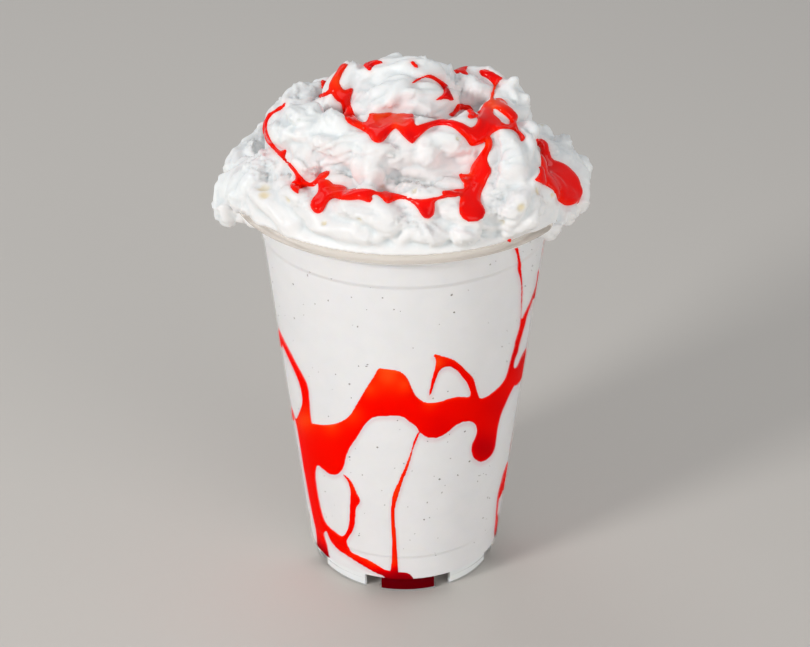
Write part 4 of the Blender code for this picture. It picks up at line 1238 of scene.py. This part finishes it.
def add_rope(bm, run, closed, seed, rough=1.0):
    """Adds one closed rope of cream along a run of right, back, up and thickness."""
    places = run[:, :3] * MM
    thick = run[:, 3] * MM
    count = len(places)
    if closed:
        along = np.roll(places, -1, axis=0) - np.roll(places, 1, axis=0)
    else:
        along = np.gradient(places, axis=0)
    along /= np.linalg.norm(along, axis=1)[:, None]
    last = places[:1] if closed else places[-1:]
    lengths = np.linalg.norm(np.diff(places, axis=0, append=last), axis=1)
    distance = np.concatenate([[0], np.cumsum(lengths)])
    whole = distance[-1]
    pitch = whole / round(whole / PETAL_PITCH) if closed else PETAL_PITCH
    side = np.cross(along[0], (0, 0, 1.0))
    if np.linalg.norm(side) < 0.2:
        side = np.cross(along[0], (0, 1.0, 0))
    rings = []
    for k in range(count):
        if closed:
            side = np.cross(along[k], (0, 0, 1.0))
        side = side - along[k] * np.dot(side, along[k])
        side /= np.linalg.norm(side)
        over = np.cross(side, along[k])
        turned = 2 * math.pi * distance[k] / pitch
        ring = []
        for j in range(ROPE_SIDES):
            angle = 2 * math.pi * j / ROPE_SIDES
            swell = petal(angle + turned) + crumple(distance[k], angle, thick[k], seed)
            swell += ruffle(distance[k], angle, thick[k], seed)
            radius = thick[k] * (1 + rough * swell)
            outward = math.cos(angle) * side + math.sin(angle) * over
            ring.append(bm.verts.new(places[k] + radius * outward))
        rings.append(ring)
    pairs = list(zip(rings, rings[1:] + rings[:1])) if closed else list(zip(rings, rings[1:]))
    for first, second in pairs:
        for j in range(ROPE_SIDES):
            after = (j + 1) % ROPE_SIDES
            bm.faces.new((first[j], first[after], second[after], second[j]))
    if closed:
        return
    for end, reach in ((0, -ROPE_TIP), (-1, ROPE_TIP)):
        ring = rings[end]
        tip = bm.verts.new(places[end] + reach * thick[end] * along[end])
        for j in range(ROPE_SIDES):
            bm.faces.new((ring[j], ring[(j + 1) % ROPE_SIDES], tip))


def rope_mesh():
    """All the ropes of cream, the heart they lie on and the collar in the lip, not yet one skin."""
    noise.seed_set(NOISE_SEED)
    bm = bmesh.new()
    for seed, ring in enumerate((LOWER_RING, UPPER_RING)):
        add_rope(bm, ring_run(ring, RING_POINTS), closed=True, seed=seed)
    for seed, (name, points) in enumerate(FOLDS.items()):
        rough = SMOOTH_SHARE if name in SMOOTH_FOLDS else 1.0
        add_rope(bm, smooth_run(points, FOLD_STEPS), closed=False, seed=10 + seed, rough=rough)
    bm.from_mesh(turned_mesh("heart", [(r * MM, z * MM) for r, z in HEART], 48))
    bm.from_mesh(turned_mesh("collar", [(r * MM, z * MM) for r, z in COLLAR], 96))
    bmesh.ops.recalc_face_normals(bm, faces=bm.faces)
    return built_mesh(bm, "whipped_cream")


def cup_clearance():
    """The cup's lip and everything under the cream inside it, shrunk a little so that no gap shows."""
    lip = [corner[:2] for corner in lip_corners(-CREAM_OVERLAP)]
    neck = NECK_RADIUS - CREAM_OVERLAP
    below = [(0.0, 60 * MM), (60 * MM, 60 * MM), (60 * MM, 100 * MM), (neck, 100 * MM)]
    bottom = CREAM_BOTTOM - 2 * GAP
    inside = [(NECK_RADIUS - WALL + CREAM_OVERLAP, bottom), (0.0, bottom)]
    return turned_mesh("clearance", below + lip + inside, 96)


def torn_rise(point, radius):
    """How far the torn crests and creases rise at a point of the skin, in millimetres."""
    place = Vector(point)
    torn = 0.3 + 0.7 * min(max(2.5 * noise.noise(place / TORN_LENGTH) + 0.5, 0), 1)
    turn = math.atan2(point[0], -point[1])
    torn *= min((math.pi - abs(turn)) / SEAM_TURN, 1)
    outer = min(max((radius - CROWN_RADIUS) / BLEND_LENGTH, 0), 1)
    around = outer * turn * FOLD_RING + (1 - outer) * point[0]
    upward = min(max((point[2] - FOLD_TURN_HEIGHT) / BLEND_LENGTH, 0), 1)
    slant = LOW_SLANT + (HIGH_SLANT - LOW_SLANT) * upward
    along = (around * math.cos(slant) + point[2] * math.sin(slant)) / FOLD_LENGTH
    across = (point[2] * math.cos(slant) - around * math.sin(slant)) / FOLD_WIDTH
    bent = Vector((along, across, radius / FOLD_WIDTH))
    bent += BEND * noise.noise_vector(place / BEND_LENGTH)
    crest = 1 - min(abs(noise.noise(bent)) / CREST_WIDTH, 1)
    crease = 1 - min(abs(noise.noise(bent + Vector(CREASE_SHIFT))) / CREASE_WIDTH, 1)
    grain = noise.noise(place / GRAIN_LENGTH)
    return torn * (CREST_RISE * crest ** CREST_SHARPNESS - CREASE_DEPTH * crease + GRAIN_RISE * grain)


def crimp(mesh):
    """Takes the remesher's small steps off the skin, and then adds torn crests and sharp creases. The
    skin stays calm under the syrup, and even where the lip presses it."""
    points, normals, triangles = mesh_arrays(mesh)
    edges = edges_of(triangles)
    for _ in range(2):
        points = 0.5 * points + 0.5 * neighbour_mean(points, edges)
    spots, scale = seen(points)
    calm = np.where(points[:, 1] < 0, np.clip(-sauce_depth(spots) / scale / MM / 2.0, 0.1, 1), 1)
    gap = np.linalg.norm(points - np.array(SMOOTH_LOBE) * MM, axis=1)
    calm *= 1 - LOBE_CALM * np.exp(-(gap / LOBE_REACH) ** 2)
    radius = np.hypot(points[:, 0], points[:, 1])
    pressed = (radius < RIM_RADIUS) * np.clip((RIM_HEIGHT + 2.5 * MM - points[:, 2]) / (2.0 * MM), 0, 1)
    rise = np.array([torn_rise(*pair) for pair in zip(points, radius)])
    rise = (1 - pressed) * calm * rise + PRESSED_RISE * pressed
    points += normals * (rise * MM)[:, None]
    soft = points
    for _ in range(3):
        soft = neighbour_mean(soft, edges)
    points += (CRISPNESS * calm * (1 - pressed))[:, None] * (points - soft)
    mesh.vertices.foreach_set("co", points.ravel())
    mesh.update()


def skin_tree(mesh):
    """The mesh's faces, to find where a line of sight meets them."""
    return BVHTree.FromPolygons([v.co for v in mesh.vertices], [p.vertices for p in mesh.polygons])


def eye_sees(points, normals, mesh):
    """Whether nothing stands between each point and the eye."""
    surface = skin_tree(mesh)
    away = EYE - points
    away /= np.linalg.norm(away, axis=1)[:, None]
    facing = (away * normals).sum(axis=1) > 0.02
    found = facing.copy()
    for k in np.flatnonzero(facing):
        start = Vector(points[k] + normals[k] * SIGHT_CLEARANCE * MM)
        found[k] = surface.ray_cast(start, Vector(away[k]))[0] is None
    return found


def sauce_depth(spots):
    """How far inside the outlines of the cream's syrup each spot of the picture lies."""
    depth = np.full(len(spots), -SIGHT_REACH)
    for parts in CREAM_SAUCES:
        depth = np.maximum(depth, loop_depth(spots, outline_of(parts)))
    return np.minimum(depth, -loop_depth(spots, outline_of(CROWN_HOLE)))


def back_depth(spots):
    """The same as sauce_depth for the runs behind, as the eye behind sees them."""
    depth = np.full(len(spots), -SIGHT_REACH)
    for run in BACK_SYRUP.values():
        fine = smooth_run(run, 8)
        fine[:, 2] *= BACK_SCALE
        depth = np.maximum(depth, run_depth(spots, fine, SIGHT_REACH))
    return depth


def spread_depth(points, normals, edges, mesh, depth_at):
    """The depth in millimetres where the eye sees the cream, spread a little round its folds, and how
    near a low end of the syrup it is."""
    spots, scale = seen(points)
    depth = depth_at(spots) / scale / MM
    shift = np.array((0, SAG_SHIFT))
    sag = (depth_at(spots - shift) - depth_at(spots + shift)) / scale / MM
    sees = eye_sees(points, normals, mesh)
    field = np.where(sees, depth, 0)
    known = sees.astype(float)
    for _ in range(SPREAD_ROUNDS):
        near = neighbour_mean(known, edges)
        spread = neighbour_mean(field * known, edges) / np.maximum(near, 1e-6)
        reached = (known == 0) & (near > 0)
        field = np.where(reached, spread - SPREAD_LOSS, field)
        known = np.where(reached, 1.0, known)
    field = np.where(known > 0, field, -1.0)
    field = 0.5 * field + 0.5 * neighbour_mean(field, edges) + SPREAD_GAIN
    return field, np.clip(sag / 2, 0, 1)


def cream_field(points, normals, edges, mesh):
    """How far inside the cream's syrup each point lies, in millimetres, and how near a low end."""
    front, front_sag = spread_depth(points, normals, edges, mesh, sauce_depth)
    turned = mesh.copy()
    half_turn = np.array((-1.0, -1.0, 1.0))
    turned.vertices.foreach_set("co", (points * half_turn).ravel())
    back, back_sag = spread_depth(points * half_turn, normals * half_turn, edges, turned, back_depth)
    bpy.data.meshes.remove(turned)
    return np.maximum(front, back), np.where(front > back, front_sag, back_sag)


def sight(right, down):
    """The direction from the eye point through a spot of the picture."""
    forward = Vector((0, math.cos(EYE_PITCH), -math.sin(EYE_PITCH)))
    upward = Vector((0, math.sin(EYE_PITCH), math.cos(EYE_PITCH)))
    across = Vector((1, 0, 0))
    return (forward * EYE_LENGTH + across * (right - PICTURE_MIDDLE[0])
            - upward * (down - PICTURE_MIDDLE[1])).normalized()


def pit_strength(points, surface):
    """How deep in a pit each point lies. The pits behind are those in front, turned half round."""
    strength = np.zeros(len(points))
    for right, down, width in PITS:
        place = surface.ray_cast(Vector(EYE), sight(right, down))[0]
        if place is None:
            continue
        behind = surface.find_nearest(Vector((-place.x, -place.y, place.z)))[0]
        for middle in (place, behind):
            gap = np.linalg.norm(points - np.array(middle), axis=1)
            strength = np.maximum(strength, np.exp(-(gap / (PIT_REACH * width * MM)) ** 4))
    return strength


def make_cream(look):
    """The cream as one skin, cut to the cup's lip."""
    cream = new_object("cream", rope_mesh(), look)
    remesh = cream.modifiers.new("one_skin", "REMESH")
    remesh.mode = "VOXEL"
    remesh.voxel_size = CREAM_VOXEL
    applied(cream)
    keep_main_skin(cream.data)
    crimp(cream.data)
    cut_by(cream, cup_clearance(), "MANIFOLD")
    keep_main_skin(cream.data)
    cream.data.shade_smooth()
    stand_for(cream, "whipped_cream")
    return cream


def painted_crease_shade(points, normals, edges):
    """Painted shade in the creases of the folds: how deep in the crease of a fold each point lies, as a
    share.
    """
    soft = points
    for _ in range(4):
        soft = neighbour_mean(soft, edges)
    crease_shade = np.clip(((soft - points) * normals).sum(axis=1) / (CREASE_SHADE_DEPTH * MM), 0, 1)
    for _ in range(2):
        crease_shade = 0.5 * crease_shade + 0.5 * neighbour_mean(crease_shade, edges)
    return crease_shade


def stains_and_bounce(points, spots, field):
    """How strongly the syrup beside it stains the cream at each point, with painted red light, bounced from
    the syrup, added at the warm places in front.
    """
    beyond = np.clip(-field, 0, 9)
    stain_and_bounce = STAIN * np.exp(-beyond / STAIN_REACH) + FAINT_STAIN * np.exp(-beyond / FAINT_REACH)
    # Painted red light bounced from the syrup onto the cream in front
    stain_and_bounce += np.where(points[:, 1] < 0, shaded(spots, PAINTED_BOUNCE_PLACES, 0.0), 0)
    return stain_and_bounce


def calmed(points, normals, edges, weight):
    """The points and their normals, evened out by a weight so that the syrup on them is smooth."""
    smooth = points.copy()
    even = normals.copy()
    for _ in range(CALM_ROUNDS):
        smooth = smooth + weight * (neighbour_mean(smooth, edges) - smooth)
        even = even + weight * (neighbour_mean(even, edges) - even)
    return smooth, even


def make_drizzle(cream, look):
    """Syrup on the cream, inside outlines drawn as the eye sees them, thicker at its low ends. The cream
    is stained beside it, given painted red bounce light in front and painted shade in its creases, and sunk
    under it."""
    points, normals, triangles = mesh_arrays(cream.data)
    edges = edges_of(triangles)
    pit = pit_strength(points, skin_tree(cream.data))
    field, sag = cream_field(points, normals, edges, cream.data)
    spots, _ = seen(points)
    set_attribute(cream.data, "stain_and_bounce", stains_and_bounce(points, spots, field))
    set_attribute(cream.data, "pit", pit)
    set_attribute(cream.data, "crease_shade", painted_crease_shade(points, normals, edges))
    covered = np.clip(field / CALM_EDGE, 0, 1)[:, None]
    smooth, even = calmed(points, normals, edges, covered * CALM_SHARE)
    under = points - normals * (pit * PIT_DEPTH * MM)[:, None]
    under += covered * (smooth - even * CREAM_SINK * MM - under)
    cream.data.vertices.foreach_set("co", under.ravel())
    rows = np.column_stack([normals, even, smooth, sag, spots])
    points, faces, field, extra = clipped(points, triangles, field, rows)
    normals, even, smooth, sag, spots = np.split(extra, (3, 6, 9, 10), axis=1)
    normals /= np.linalg.norm(normals, axis=1)[:, None]
    even /= np.linalg.norm(even, axis=1)[:, None]
    rise = DRIZZLE_RISE * dome(field, DRIZZLE_EDGE) * (1 + SAG_SHARE * sag[:, 0]) - DRIZZLE_SINK
    outer = smooth + even * (rise * MM)[:, None]
    inner = points - normals * DRIZZLE_DEPTH * MM
    # Thin orange film to dark pools, with painted shade on lobes in shade
    shades = shaded(spots, CREAM_SHADES, PLAIN_SHADE)
    shades = np.where(points[:, 1] < 12 * MM, shades, PLAIN_SHADE)
    depth_and_shade = shades - EDGE_THINNING * np.clip(1 - field, 0, 1)
    solid, faces = closed_skin(outer, inner, faces)
    mesh = pool_mesh("drizzle", solid, faces, np.tile(np.clip(depth_and_shade, 0, 1), 2))
    placed("drizzle", mesh, look, "whipped_cream")


def make_floor():
    """The plain floor that the cup stands on."""
    mesh = bpy.data.meshes.new("floor")
    mesh.from_pydata([(-3, -3, 0), (3, -3, 0), (3, 3, 0), (-3, 3, 0)], [], [(0, 1, 2, 3)])
    made, shader = new_material("floor")
    shader.inputs["Base Color"].default_value = (0.62, 0.59, 0.55, 1.0)
    shader.inputs["Roughness"].default_value = 0.6
    new_object("floor", mesh, made)


def area_light(name, place, size, power, colour):
    """A round lamp that shines at the cup's middle."""
    lamp = bpy.data.lights.new(name, "AREA")
    lamp.shape = "DISK"
    lamp.size = size
    lamp.energy = power
    lamp.color = colour
    obj = bpy.data.objects.new(name, lamp)
    bpy.context.scene.collection.objects.link(obj)
    obj.location = place
    target = Vector((0, 0, 0.08))
    obj.rotation_euler = (target - Vector(place)).to_track_quat("-Z", "Y").to_euler()


def make_light():
    """Three soft lamps and a pale surround."""
    area_light("key", (-0.94, -0.74, 0.64), 0.3, 8.6, (1.0, 0.99, 0.98))
    area_light("fill", (0.75, -0.95, 0.38), 0.9, 4.9, (1.0, 0.98, 0.95))
    area_light("back", (-0.3, 0.7, 1.2), 0.8, 2.6, (1.0, 1.0, 1.0))
    world = bpy.data.worlds.new("studio")
    world.use_nodes = True
    background = world.node_tree.nodes["Background"]
    background.inputs["Color"].default_value = (0.95, 0.97, 1.0, 1.0)
    background.inputs["Strength"].default_value = 0.42
    scene = bpy.context.scene
    scene.world = world
    scene.view_settings.view_transform = "Standard"


def make_camera():
    """The camera, at the eye point."""
    data = bpy.data.cameras.new("camera")
    data.sensor_width = SENSOR
    data.lens = EYE_LENGTH * SENSOR / PICTURE_WIDTH
    data.clip_start = 0.01
    data.clip_end = 20.0
    camera = bpy.data.objects.new("camera", data)
    bpy.context.scene.collection.objects.link(camera)
    camera.location = EYE
    camera.rotation_euler = (math.pi / 2 - EYE_PITCH, 0, 0)
    bpy.context.scene.camera = camera


shake = shake_look()
pressed_syrup = syrup_look("pressed_syrup", 0.0, 0.0)
make_cup(clear_plastic())
make_shake(shake)
make_foot_filling(shake, pressed_syrup)
make_wall_syrup(pressed_syrup)
make_specks(speck_look())
make_drizzle(make_cream(cream_look()), syrup_look("syrup", 0.22, 0.12))
make_floor()
make_light()
make_camera()
